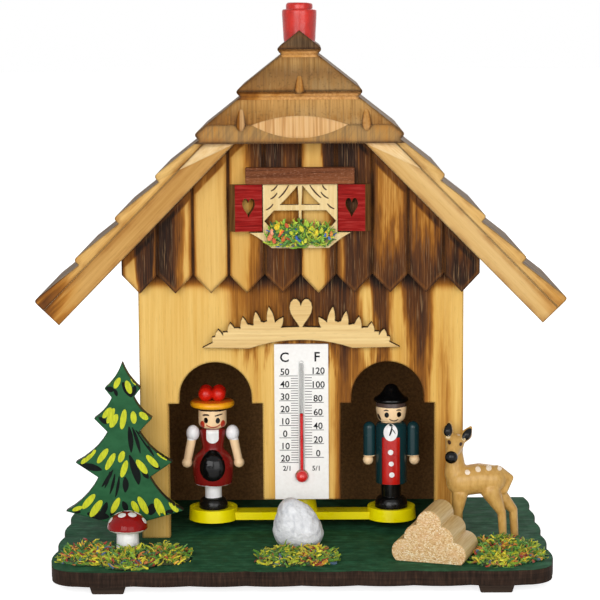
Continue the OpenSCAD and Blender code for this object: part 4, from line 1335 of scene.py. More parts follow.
@dataclass(frozen=True)
class Viewpoint:
    """Where the photo was taken from."""

    place: Triple = (3.78 * MM, -678.9 * MM, 183.04 * MM)
    pitch: float = 7.963
    yaw: float = -0.346
    roll: float = -0.371
    lens: float = 122.67
    sensor: float = 36.0
    clip: Pair = (0.01, 20.0)

    def build(self) -> None:
        """Makes the camera."""
        p, y, r = (math.radians(a) for a in (self.pitch, self.yaw, self.roll))
        ahead = Vector((math.sin(y) * math.cos(p), math.cos(y) * math.cos(p), -math.sin(p)))
        level = Vector((math.cos(y), -math.sin(y), 0.0))
        rise = level.cross(ahead)
        right = math.cos(r) * level + math.sin(r) * rise
        up = -math.sin(r) * level + math.cos(r) * rise
        data = bpy.data.cameras.new("photo_camera")
        data.lens = self.lens
        data.sensor_width = self.sensor
        data.clip_start, data.clip_end = self.clip
        obj = add_object("photo_camera", data)
        turn = Matrix((right, up, -ahead)).transposed().to_4x4()
        obj.matrix_world = Matrix.Translation(self.place) @ turn
        bpy.context.scene.camera = obj


@dataclass(frozen=True)
class Studio:
    """Pale floor, white surroundings and soft lamps."""

    floor: float = 6.0
    ambient: float = 0.24
    glow: float = 0.78
    aim: Triple = (0.0, 0.0, 80 * MM)
    lamps: tuple[tuple[str, Triple, float, float], ...] = (
        ("key", (-0.4, -1.25, 0.45), 0.8, 10.8),
        ("fill", (0.5, -1.2, 0.34), 0.8, 7.0),
        ("back", (0.3, 1.0, 0.7), 0.6, 3.0),
    )

    def build(self) -> None:
        """Makes the lamps, the white world and the floor."""
        for name, place, size, power in self.lamps:
            lamp = bpy.data.lights.new(name, "AREA")
            lamp.size = size
            lamp.energy = power
            obj = add_object(name, lamp)
            obj.location = place
            obj.rotation_euler = (Vector(self.aim) - Vector(place)).to_track_quat("-Z", "Y").to_euler()
        world = bpy.data.worlds.new("white_room")
        bpy.context.scene.world = world
        g = Graph(world)
        g.set(Color=tint("#ffffff"), Strength=g.fade(seen(g), 0.0, 1.0, self.ambient, 1.0))
        bm = bmesh.new()
        bmesh.ops.create_grid(bm, x_segments=1, y_segments=1, size=self.floor)
        mesh = cast("floor", bm)
        mesh.materials.append(Paper("floor_paper", self.glow).get())
        obj = add_object("floor", mesh)


@dataclass
class Assembly:
    """Base of the sub-assemblies: each dresses its nodes and makes its pieces."""

    shop: Workshop

    def build(self) -> None:
        """Builds the sub-assembly, which each does in its own way."""
        raise NotImplementedError


@dataclass
class Base(Assembly):
    """Green base plate on dark bevelled feet."""

    plate_arris: float = 0.35 * MM
    foot_arris: float = 0.4 * MM

    def build(self) -> None:
        """Dresses the plate and the feet."""
        green = Stained("green_plywood", "#265339", "#163a24", rough=0.75, gloss=0.1,
                        stroke=(20 * MM, 0.9 * MM, 0.9 * MM), depth=0.1 * MM)
        self.shop.dress("base_plate", green, self.plate_arris)
        dark = Wood("dark_wood", "#43352b", "#241a14", "#15100c", Axis.X, edge=0.5 * MM)
        self.shop.dress("feet", dark, self.foot_arris)


@dataclass
class House(Assembly):
    """Walls, gable boards and the back panel, with their scorch from left to right."""

    arris: float = 0.2 * MM
    boards: int = 10
    wall_levels: Levels = (
        (0.0, 0.1), (0.03, 0.03), (0.24, 0.05), (0.3, 0.3), (0.37, 0.45), (0.42, 0.42), (0.46, 0.6),
        (0.53, 0.55), (0.57, 0.7), (0.64, 0.72), (0.672, 0.5), (0.69, 0.06), (0.715, 0.08), (0.735, 0.72),
        (0.762, 0.68), (0.785, 0.1), (0.81, 0.12), (0.828, 0.62), (0.86, 0.75), (0.89, 0.55), (0.912, 0.1),
        (0.935, 0.12), (0.955, 0.14), (0.98, 0.05), (1.0, 0.2))
    post_levels: Levels = (
        (0.0, 0.12), (0.03, 0.03), (0.33, 0.05), (0.36, 0.18), (0.375, 0.04), (0.41, 0.06), (0.44, 0.12),
        (0.56, 0.15), (0.585, 0.08), (0.6, 0.22), (0.62, 0.42), (0.64, 0.48), (0.665, 0.38), (0.69, 0.3),
        (0.71, 0.36), (0.73, 0.14), (0.76, 0.34), (0.78, 0.12), (0.82, 0.2), (0.85, 0.42), (0.88, 0.38),
        (0.91, 0.08), (0.935, 0.22), (0.955, 0.26), (0.98, 0.06), (1.0, 0.2))
    gable_levels: Levels = (
        (0.0, 0.1), (0.04, 0.12), (0.055, 0.85), (0.082, 1.0), (0.09, 0.2), (0.0985, 0.25), (0.1, 1.0),
        (0.14, 0.98), (0.158, 0.5), (0.178, 0.12), (0.21, 0.03), (0.34, 0.03), (0.355, 0.3), (0.395, 0.52),
        (0.405, 0.78), (0.45, 0.62), (0.497, 0.75), (0.502, 0.02), (0.555, 0.04), (0.575, 0.5),
        (0.598, 0.8), (0.602, 0.25), (0.612, 0.3), (0.625, 0.8), (0.698, 0.72), (0.702, 0.6), (0.79, 0.72),
        (0.86, 0.68), (0.92, 0.95), (1.0, 0.95))
    # Scorch levels of the boards' upper part: darker under the hip, partly scorch and partly painted shade
    # under its overhang.
    peak_levels: Levels = (
        (0.0, 0.1), (0.21, 0.03), (0.34, 0.08), (0.37, 0.6), (0.4, 0.85), (0.45, 0.9), (0.497, 0.5),
        (0.502, 0.12), (0.55, 0.1), (0.565, 0.8), (0.62, 0.95), (0.68, 0.85), (0.73, 0.5), (1.0, 0.6))
    side_levels: Levels = ((0.0, 0.25), (0.5, 0.25), (1.0, 0.25))
    window: Triple = (13 * MM, 106 * MM, 130 * MM)

    def build(self) -> None:
        """Dresses the walls and the gable."""
        low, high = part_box("front_wall")
        width = high.x - low.x
        # The wall darkens under the gable, partly soot and partly painted shade.
        wall = StreakedWood("wall_wood", "#e0ba6c", "#d0a14e", edge=1.1 * MM, edge_depth=0.9, width=width,
                            levels=self.wall_levels, low_levels=self.post_levels, low=62 * MM, high=86 * MM,
                            soot_and_shade=(91 * MM, 100 * MM))
        self.shop.dress("front_wall", wall, self.arris)
        side = StreakedWood("side_wood", "#deb970", "#cda058", edge=0.8 * MM, width=width,
                            levels=self.side_levels)
        for node in ("left_wall", "right_wall"):
            self.shop.dress(node, side, self.arris)
        back = Hardboard("hardboard", "#5a4029", "#3d2a1a", along=Axis.X, fibre=0.9 * MM, rough=0.7)
        self.shop.dress("back_panel", back, self.arris)
        low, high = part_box("gable_panel")
        gable = StreakedWood("gable_wood", "#d9b267", "#c7984c", edge=1.5 * MM, edge_depth=1.2, toast=3 * MM,
                             width=high.x - low.x, levels=self.peak_levels, low_levels=self.gable_levels,
                             low=122 * MM, high=138 * MM, fade_up=(22 * MM, 97 * MM, 122 * MM),
                             boards=self.boards, apex=high.z, shield=self.window)
        self.shop.dress("gable_panel", gable, self.arris)


@dataclass
class Roof(Assembly):
    """Roof boards, shingles, hip and ridge beam."""

    pitch: float = 45.5
    hip_pitch: float = 58.0
    arris: float = 0.35 * MM
    hip_arris: float = 0.2 * MM
    hip_angle: float = 12.0
    sides: tuple[tuple[str, int, str, str, str], ...] = (
        ("left", -1, "#c69a58", "#ae8042", "#e0b872"),
        ("right", 1, "#d3ae72", "#c09656", "#dcb674"),
    )

    def build(self) -> None:
        """Dresses the roof's nodes, left and right."""
        burn = {"edge": 0.9 * MM, "edge_depth": 1.2, "toast": 4 * MM}
        for side, sign, pale, deep, tan in self.sides:
            lean = (0.0, sign * self.pitch, 0.0)
            board = RoofBoard(f"roof_edge_wood_{side}", pale, deep, "#2f1c10", Axis.X, lean, **burn)
            self.shop.dress(f"roof_board_{side}", board, self.arris)
            shingle = Shingle(f"shingle_wood_{side}", tan, "#c2934e", "#2c1b10", Axis.X, lean, **burn)
            self.shop.dress(f"shingles_{side}", shingle, self.arris)
        lean = (self.hip_pitch - 90, 0.0, 0.0)
        hip = HipWood("hip_wood", "#d0a66c", "#b48a54", "#2a1910", Axis.Z, lean, Axis.Y, fibre=0.6 * MM,
                      edge=2.2 * MM, edge_depth=1.6, toast=4 * MM)
        self.shop.dress("hip_block", hip, self.hip_arris, angle=self.hip_angle)
        self.shop.dress("ridge_beam", Wood("beam_wood", "#d8b06a", "#b98a48", along=Axis.Y), self.arris)


@dataclass
class Mechanism(Assembly):
    """Chimney knob, spindle, clamp, gut cord, ferrule and figure bar."""

    arris: float = 0.25 * MM
    bar_arris: float = 0.4 * MM
    ferrule_arris: float = 0.15 * MM
    cord_arris: float = 0.1 * MM
    round_cuts: int = 3

    def build(self) -> None:
        """Dresses the turning pieces."""
        red = Paint("red_lacquer", "#c8200f", "#a81408", rough=0.24, gloss=0.45,
                    stroke=(3 * MM, 3 * MM, 9 * MM), depth=0.05 * MM)
        self.shop.dress("chimney_knob", red, self.arris, self.round_cuts)
        self.shop.dress("spindle", Wood("spindle_wood", "#d8b06a", "#b98a48"), self.arris)
        brass = Paint("brass", "#c89a4a", "#a67c34", rough=0.3, stroke=(6 * MM, 6 * MM, 0.4 * MM), metal=1.0)
        self.shop.dress("cord_clamp", brass, self.arris)
        self.shop.dress("cord_ferrule", brass, self.ferrule_arris)
        low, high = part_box("gut_cord")
        self.shop.dress("gut_cord", Twisted("gut", tuple((low + high) / 2)), self.cord_arris)
        yellow = Paint("yellow_plastic", "#f6e800", "#ecd800", rough=0.3, gloss=0.25, stroke=8 * MM,
                       depth=0.03 * MM)
        self.shop.dress("figure_bar", yellow, self.bar_arris, self.round_cuts)


@dataclass
class Painted(Assembly):
    """Sub-assembly with painted details, placed in millimetres from an origin of its own."""

    body: ClassVar[Body] = Body.HOUSE

    def take_brush(self, carrier: Mesh, origin: Triple, lift: float = 0.12 * MM) -> None:
        """Takes up a brush for a carrier, and keeps the origin of its details."""
        self.origin = origin
        self.brush = Brush(carrier, lift)

    def dab(self, x: float, z: float, half_w: float, half_h: float, **settings: float) -> None:
        """Lays an oval at a place right of the origin and above it."""
        right, deep, up = self.origin
        self.brush.oval((right + x * MM, deep, up + z * MM), (half_w, half_h), **settings)

    def stroke(self, points: Sequence[Pair], width: float, taper: float = 0.5, cuts: int = 2) -> None:
        """Lays a stroke through three points right of the origin and above it."""
        self.brush.line(self.origin, points, width, taper, cuts)

    def coat(self, name: str, finish: Finish, slot: str, crease: float = 60.0) -> None:
        """Turns what the brush has laid into a piece."""
        self.shop.piece(name, self.brush.ready(), finish, self.body, slot, crease=crease)


@dataclass
class Figure(Painted):
    """What both figures share: their place on the bar, their skin and their roundings."""

    body: ClassVar[Body] = Body.TURNTABLE
    node: str = ""
    skin: str = "#f8d6a8"
    body_arris: float = 0.12 * MM
    arm_arris: float = 0.1 * MM
    hat_arris: float = 0.15 * MM

    def __post_init__(self) -> None:
        """Finds the figure's axis and foot, and takes up the brush."""
        low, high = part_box(self.node)
        self.foot = low.z
        middle = ((low.x + high.x) / 2, (low.y + high.y) / 2, self.foot)
        self.take_brush(self.shop.nodes[self.node].data, middle)


BLACK = Paint("black_gloss", "#0b0a0a", "#050404", rough=0.13, gloss=0.2)
WHITE = Paint("white_gloss", "#f3f2f1", "#e2e0de", rough=0.3)
BROW = Paint("brow_brown", "#3a2113", "#24130b", rough=0.4)
LIPS = Paint("lip_red", "#c23a22", "#a82c18", rough=0.35)


@dataclass
class Woman(Figure):
    """Woman in a dark red dress with an apron, a brimmed hat and pompoms."""

    node: str = "woman_body"
    hair: str = "#1c110b"

    def build(self) -> None:
        """Dresses her nodes and paints her face, shirt and apron."""
        bands = ((0.0, "#141210"), (3.75, "#ecebee"), (8.65, "#7d1a17"), (27.85, self.skin),
                 (34.1, self.hair))
        body = BandPaint("woman_paint", bands, self.foot, rough=0.2, gloss=0.2, hair=self.hair,
                         hair_from=28.2, back=self.origin[1] + 1.6 * MM)
        self.shop.dress(self.node, body, self.body_arris)
        arms = BandPaint("woman_arm_paint", ((0.0, self.skin), (23.7, "#f1f0f2")), self.foot, rough=0.3)
        self.shop.dress("woman_arms", arms, self.arm_arris)
        bands = ((0.0, "#f6ab18"), (36.5, "#f2a01c"), (37.25, "#e8741a"))
        self.shop.dress("woman_hat_brim", BandPaint("woman_brim_paint", bands, self.foot), self.hat_arris)
        wool = Paint("pompom_red", "#d2200f", "#b21408", rough=0.3, stroke=0.8 * MM, depth=0.08 * MM)
        self.shop.dress("woman_pompoms", wool, self.hat_arris)
        self.face()
        self.stroke([(0.1, 27.9), (0.1, 26.4), (0.1, 24.8)], 4.2, 0.0, 8)
        self.dab(0.1, 24.8, 2.1, 1.7, cuts=3)
        self.coat("woman_shirt", WHITE, "woman_paint")
        self.dab(0.05, 15.7, 4.9, 5.2, egg=0.24, cuts=7)
        self.coat("woman_apron", BLACK, "woman_paint")

    def face(self) -> None:
        """Paints eyes, brows, cheeks and mouth."""
        self.dab(-2.05, 31.2, 0.72, 1.0)
        self.dab(2.0, 31.1, 0.72, 1.0)
        self.coat("woman_eyes", BLACK, "woman_paint")
        self.stroke([(-3.2, 32.8), (-2.1, 33.3), (-0.9, 33.0)], 0.6, 0.4)
        self.stroke([(1.0, 32.7), (2.3, 33.1), (3.6, 33.2)], 0.5, 0.5)
        self.coat("woman_brows", BROW, "woman_paint")
        self.dab(-3.3, 29.6, 0.8, 1.3)
        self.dab(3.65, 29.7, 0.75, 1.3)
        self.stroke([(-2.0, 29.7), (0.4, 27.8), (2.8, 29.7)], 0.45, 0.3)
        self.coat("woman_cheeks_and_mouth", LIPS, "woman_paint")


@dataclass
class Man(Figure):
    """Man in a dark coat and red waistcoat, with a round black hat."""

    node: str = "man_body"
    cloth: str = "#16363a"
    over_paint: float = 0.2 * MM
    over_cravat: float = 0.26 * MM
    buttons: tuple[Triple, ...] = ((-0.4, 20.0, 0.92), (-0.2, 16.0, 0.85), (0.0, 12.2, 0.9))

    def build(self) -> None:
        """Dresses his nodes and paints his face, waistcoat and cravat."""
        bands = ((0.0, "#0e0d0c"), (8.45, self.cloth), (29.75, self.skin), (35.05, "#4c3d38"))
        body = BandPaint("man_paint", bands, self.foot, rough=0.2, gloss=0.25, hair="#4a3a36", hair_from=30.0,
                         back=self.origin[1] + 1.4 * MM)
        self.shop.dress(self.node, body, self.body_arris)
        bands = ((0.0, self.skin), (18.0, self.cloth))
        arms = BandPaint("man_arm_paint", bands, self.foot, rough=0.2, gloss=0.25)
        self.shop.dress("man_arms", arms, self.arm_arris)
        hat = Paint("hat_black", "#0b0a0a", "#050505", rough=0.13, gloss=0.22)
        self.shop.dress("man_hat", hat, self.hat_arris)
        self.clothes()
        self.face()

    def clothes(self) -> None:
        """Paints the waistcoat, and over it the cravat and the buttons."""
        thin = self.brush.lift
        self.stroke([(-0.25, 25.0), (-0.3, 16.4), (-0.25, 8.75)], 6.0, 0.0, 14)
        red = Paint("waistcoat_red", "#c01a12", "#a3110c", rough=0.22, gloss=0.4)
        self.coat("man_waistcoat", red, "red_paint")
        self.brush.lift = self.over_paint
        self.dab(-0.4, 26.8, 2.4, 2.9)
        for x, z, radius in self.buttons:
            self.dab(x, z, radius, radius)
        self.coat("man_cravat_and_buttons", WHITE, "white_paint")
        self.brush.lift = self.over_cravat
        self.stroke([(0.05, 28.9), (-0.1, 27.4), (-0.8, 25.8)], 0.6, 0.4)
        self.stroke([(0.1, 28.2), (0.7, 27.4), (1.2, 26.4)], 0.3)
        self.coat("man_cravat_lines", BLACK, "black_paint")
        self.brush.lift = thin

    def face(self) -> None:
        """Paints eyes, brows, mouth and whisker."""
        self.dab(-1.7, 32.8, 0.75, 0.95)
        self.dab(2.5, 32.9, 0.75, 0.95)
        self.coat("man_eyes", BLACK, "black_paint")
        self.stroke([(-2.7, 34.2), (-1.9, 34.7), (-1.1, 34.3)], 0.45)
        self.stroke([(1.6, 34.4), (2.4, 34.7), (3.2, 34.3)], 0.42)
        self.stroke([(-0.8, 31.4), (0.6, 30.2), (2.2, 31.2)], 0.38, 0.3)
        self.stroke([(-4.6, 32.8), (-4.3, 31.6), (-3.6, 30.8)], 0.8, 0.6)
        self.coat("man_brows_and_mouth", BROW, "man_paint")


@dataclass
class Thermometer(Assembly):
    """Card, glass tube, liquid and the printed scale.

    A scale is the height of its zero, its step, the first and the last step, the units of a step
    and its side.
    """

    scales: tuple[tuple[float, float, int, int, int, int], ...] = (
        (21.0 * MM, 4.2 * MM, -2, 5, 10, -1),
        (14.3 * MM, 4.67 * MM, 0, 6, 20, 1),
    )
    headings: tuple[tuple[str, float, float], ...] = (("C", -5.6 * MM, 5.9 * MM), ("F", 5.2 * MM, 5.8 * MM))
    heading: float = 4.5 * MM
    notes: tuple[tuple[str, float], ...] = (("2/1", -4.9 * MM), ("5/1", 4.9 * MM))
    note_share: float = 0.75
    note_rise: float = 9.8 * MM
    figure: float = 3.1 * MM
    figure_x: float = 5.5 * MM
    figure_rise: float = 0.35 * MM
    inset: float = 1.1 * MM
    margin: float = 7.4 * MM
    ink: float = 0.03 * MM
    rule: float = 0.2 * MM
    short: float = 2.4 * MM
    short_x: float = 2.3 * MM
    parts: int = 5
    bulb_top: float = 4.15 * MM
    card_arris: float = 0.1 * MM
    tube_arris: float = 0.05 * MM

    def __post_init__(self) -> None:
        """Finds the card and starts the print."""
        self.low, self.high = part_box("thermometer_card")
        self.bm = bmesh.new()

    def build(self) -> None:
        """Dresses the card and tube, and prints the scale."""
        card = Paint("white_card", "#eceae6", "#e7e4df", rough=0.5, gloss=0.15, stroke=1.2 * MM,
                     depth=0.02 * MM)
        self.shop.dress("thermometer_card", card, self.card_arris)
        glass = Glass("glass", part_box("thermometer_tube")[0].z + self.bulb_top)
        self.shop.dress("thermometer_tube", glass, self.tube_arris)
        liquid = Paint("red_liquid", "#d8161a", "#c20e12", rough=0.3)
        self.shop.dress("thermometer_liquid", liquid, self.tube_arris)
        self.print_scale()

    def write(self, words: str, size: float, x: float, z: float) -> None:
        """Sets one figure or heading of the scale.

        Args:
            words: Figure or heading.
            size: Letter size.
            x: Middle of the figure.
            z: Foot of the figure.
        """
        curve = bpy.data.curves.new("figure", "FONT")
        curve.body = words
        curve.size = size
        curve.extrude = self.ink
        curve.align_x = "CENTER"
        curve.resolution_u = 3
        curve.offset = 0.016 * size
        obj = add_object("figure", curve)
        mesh = bpy.data.meshes.new_from_object(obj.evaluated_get(bpy.context.evaluated_depsgraph_get()))
        mesh.transform(Matrix.Translation((x, self.low.y, z)) @ Matrix.Rotation(math.pi / 2, 4, "X"))
        pour(self.bm, mesh)
        bpy.data.objects.remove(obj)
        bpy.data.curves.remove(curve)

    def tick(self, x: float, z: float, width: float) -> None:
        """Rules one line of the scale.

        Args:
            x: Its middle.
            z: Its height.
            width: Its length.
        """
        made = bmesh.ops.create_cube(self.bm, size=1.0)["verts"]
        bmesh.ops.scale(self.bm, verts=made, vec=(width, 2 * self.ink, self.rule))
        bmesh.ops.translate(self.bm, verts=made, vec=(x, self.low.y, z))

    def print_scale(self) -> None:
        """Prints the headings, figures and lines of both scales."""
        for words, x, drop in self.headings:
            self.write(words, self.heading, x, self.high.z - drop)
        for words, x in self.notes:
            self.write(words, self.note_share * self.figure, x, self.low.z + self.note_rise)
        for zero, step, first, last, units, side in self.scales:
            for i in range(first, last + 1):
                z = self.low.z + zero + i * step
                self.write(str(abs(i) * units), self.figure, side * self.figure_x, z + self.figure_rise)
                self.tick(side * (self.margin + self.inset) / 2, z, self.margin - self.inset)
                for part in range(1, self.parts if i < last else 1):
                    self.tick(side * self.short_x, z + part * step / self.parts, self.short)
        ink = Paint("print_black", "#1a1a1d", "#121214", rough=0.6, gloss=0.1)
        self.shop.piece("scale_print", self.bm, ink, Body.HOUSE, "white_card")


@dataclass
class Sign(Assembly):
    """Fretwork sign over the doorways."""

    arris: float = 0.22 * MM

    def build(self) -> None:
        """Dresses the sign."""
        wood = Board("sign_wood", "#e3c68b", "#c9a265", "#2c1a0d", Axis.X, edge=0.45 * MM, edge_depth=0.9,
                     side="#3f2714")
        self.shop.dress("sign_fretwork", wood, self.arris)


@dataclass
class Window(Painted):
    """Window fretwork with curtain slits, lintel and shutters."""

    fret_arris: float = 0.12 * MM
    lintel_arris: float = 0.3 * MM
    shutter_arris: float = 0.22 * MM
    slit: float = 0.5
    bow: float = 0.3
    sag: float = 0.5
    slits: tuple[tuple[float, float, float, float], ...] = (
        (-7.4, 0.2, -9.5, 2.2), (-3.7, 0.3, -7.0, 4.5), (-7.5, 2.8, -9.7, 4.8), (-8.8, 6.4, -11.2, 8.4),
        (3.2, 0.3, 6.9, 4.5), (7.3, 0.2, 8.7, 1.9), (6.8, 2.6, 9.3, 4.7), (8.9, 6.4, 11.2, 8.1))

    def build(self) -> None:
        """Dresses the window's nodes and cuts the slits."""
        fret = Board("fret_wood", "#e2cb98", "#d0b176", "#4a2e16", Axis.Z, edge=0.4 * MM, edge_depth=0.8,
                     side="#6a4926")
        self.shop.dress("window_fretwork", fret, self.fret_arris)
        lintel = FleckedWood("mahogany", "#8c5230", "#4e2814", "#2c140a", Axis.X, fibre=0.35 * MM,
                             edge=0.5 * MM, rough=0.6, relief=0.25 * MM)
        self.shop.dress("window_lintel", lintel, self.lintel_arris)
        red = ShutterPaint("shutter_red", "#8c1512", "#6e0d0b", rough=0.55, gloss=0.06,
                           stroke=(8 * MM, 8 * MM, 0.5 * MM), depth=0.12 * MM)
        for side in ("left", "right"):
            self.shop.dress(f"shutter_{side}", red, self.shutter_arris)
        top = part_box("window_fretwork")[1].z
        self.take_brush(self.shop.nodes["window_fretwork"].data, (0.0, 0.0, top), 0.05 * MM)
        for x0, z0, x1, z1 in self.slits:
            inward = -self.bow if x0 > 0 else self.bow
            middle = ((x0 + x1) / 2 + inward, -((z0 + z1) / 2 + self.sag))
            self.stroke([(x0, -z0), middle, (x1, -z1)], self.slit, 0.35)
        self.coat("curtain_slits", Paint("slit_brown", "#4a2f18", "#2e1c0e", rough=0.7), "light_wood", 40.0)


@dataclass
class Shreds(Assembly):
    """Tuft of bent dyed shreds on a low mound, which has like colours in patches.

    The pairs are the limits between which each shred's own value is drawn.
    """

    node: str
    piece: str
    count: int
    seed: int
    length: Pair = (1.4 * MM, 3.6 * MM)
    width: Pair = (0.45 * MM, 0.95 * MM)
    dyes: tuple[tuple[str, int], ...] = (
        ("#dcd228", 7), ("#b0ba20", 8), ("#86a822", 5), ("#5c9424", 7), ("#356f26", 6), ("#4f6a86", 1),
        ("#a8381c", 3), ("#d07a2a", 3), ("#e2a32c", 3), ("#f2de34", 5))
    bends: Triple = (0.25, 0.5, -0.7)
    flat: float = 0.45
    ground: str = "#4a5520"
    ground_light: float = 0.6
    sink: float = 1.0 * MM
    patch: float = 4.5 * MM
    spin: float = 6.3
    lean: Pair = (45.0, 96.0)
    rise: Pair = (-0.2, 0.6)
    light: Pair = (0.75, 1.2)
    margin: float = 0.05 * MM

    def __post_init__(self) -> None:
        """Finds the tuft's box and lays out its dyes."""
        self.low, self.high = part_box(self.node)
        self.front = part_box("base_plate")[0].y + self.margin
        self.codes = [code for code, share in self.dyes for _ in range(share)]
        self.pick = random.Random(self.seed)

    def build(self) -> None:
        """Makes the tuft and lets it stand for its node."""
        self.bm = bmesh.new()
        self.bm.verts.layers.float_color.new("dye")
        self.tree = self.mound()
        self.shapes = [self.template(bend) for bend in self.bends]
        planted = 0
        while planted < self.count:
            planted += self.plant()
        self.crown()
        for mesh in self.shapes:
            bpy.data.meshes.remove(mesh)
        self.shop.piece(self.piece, self.bm, Dyed("dyed_shreds"), Body.HOUSE, "moss", [self.node])

    @staticmethod
    def undyed(name: str, bm: BMesh) -> Mesh:
        """Turns a bmesh into a mesh that can take a dye.

        Args:
            name: Mesh's name.
            bm: Shape to turn; it is freed.

        Returns:
            The mesh.
        """
        mesh = cast(name, bm)
        mesh.attributes.new("dye", "FLOAT_COLOR", "POINT")
        return mesh

    def add_dyed(self, mesh: Mesh, code: str, light: float) -> None:
        """Dyes a mesh and adds it to the tuft.

        Args:
            mesh: Mesh that can take a dye; it is removed.
            code: Its colour.
            light: How light the colour comes out.
        """
        red, green, blue, _ = tint(code)
        dye = [red * light, green * light, blue * light, 1.0]
        mesh.attributes["dye"].data.foreach_set("color", dye * len(mesh.vertices))
        pour(self.bm, mesh)

    def template(self, bend: float) -> Mesh:
        """Makes a bent shred of unit length.

        Args:
            bend: How far it bends.

        Returns:
            The shred.
        """
        bm = bmesh.new()
        bmesh.ops.create_cube(bm, size=1.0)
        long_edges = [e for e in bm.edges if abs(e.verts[0].co.z - e.verts[1].co.z) > 0.5]
        bmesh.ops.subdivide_edges(bm, edges=long_edges, cuts=2)
        for v in bm.verts:
            v.co.z += 0.5
            taper = 1 - 0.6 * v.co.z ** 2
            v.co.x = v.co.x * taper
            v.co.y = v.co.y * taper + 5 * bend * math.sin(2.6 * v.co.z)
        return self.undyed("shred", bm)

    def mound(self) -> BVHTree:
        """Adds the lowered mound that the shreds stand on.

        Returns:
            Search tree of the mound.
        """
        source = self.shop.merged(self.node)
        for v in source.verts:
            v.co.z = max(self.low.z, v.co.z - self.sink)
        tree = BVHTree.FromBMesh(source)
        self.add_dyed(self.undyed("mound", source), self.ground, self.ground_light)
        return tree

    def dye(self, foot: Vector) -> str:
        """Chooses a colour, so that like colours gather in patches."""
        share = 0.5 + 0.8 * noise.noise(foot / self.patch) + self.pick.uniform(-0.3, 0.3)
        return self.codes[int(share * len(self.codes)) % len(self.codes)]

    def plant(self) -> bool:
        """Stands one shred on the mound, behind the base's front edge.

        Returns:
            False where there is no ground for it.
        """
        pick = self.pick
        x, y = pick.uniform(self.low.x, self.high.x), pick.uniform(self.low.y, self.high.y)
        foot, normal, _, _ = self.tree.ray_cast(Vector((x, y, self.high.z + 1)), Vector((0.0, 0.0, -1.0)))
        if foot is None or normal.z < 0.1:
            return False
        code = self.dye(foot)
        mesh = pick.choice(self.shapes).copy()
        long, wide = pick.uniform(*self.length), pick.uniform(*self.width)
        lean = Matrix.Rotation(math.radians(pick.uniform(*self.lean)), 4, "X")
        turn = Matrix.Rotation(pick.uniform(0, FULL_TURN), 4, "Z") @ lean
        turn = turn @ Matrix.Rotation(pick.uniform(0, self.spin), 4, "Z")
        lift = Matrix.Translation(foot + Vector((0.0, 0.0, pick.uniform(*self.rise) * MM)))
        mesh.transform(lift @ turn @ Matrix.Diagonal((wide, wide * self.flat, long, 1.0)))
        for v in mesh.vertices:
            v.co.y = max(v.co.y, self.front)
        self.add_dyed(mesh, code, pick.uniform(*self.light))
        return True

    def crown(self) -> None:
        """Adds what stands over the shreds, which is nothing on a tuft of moss."""


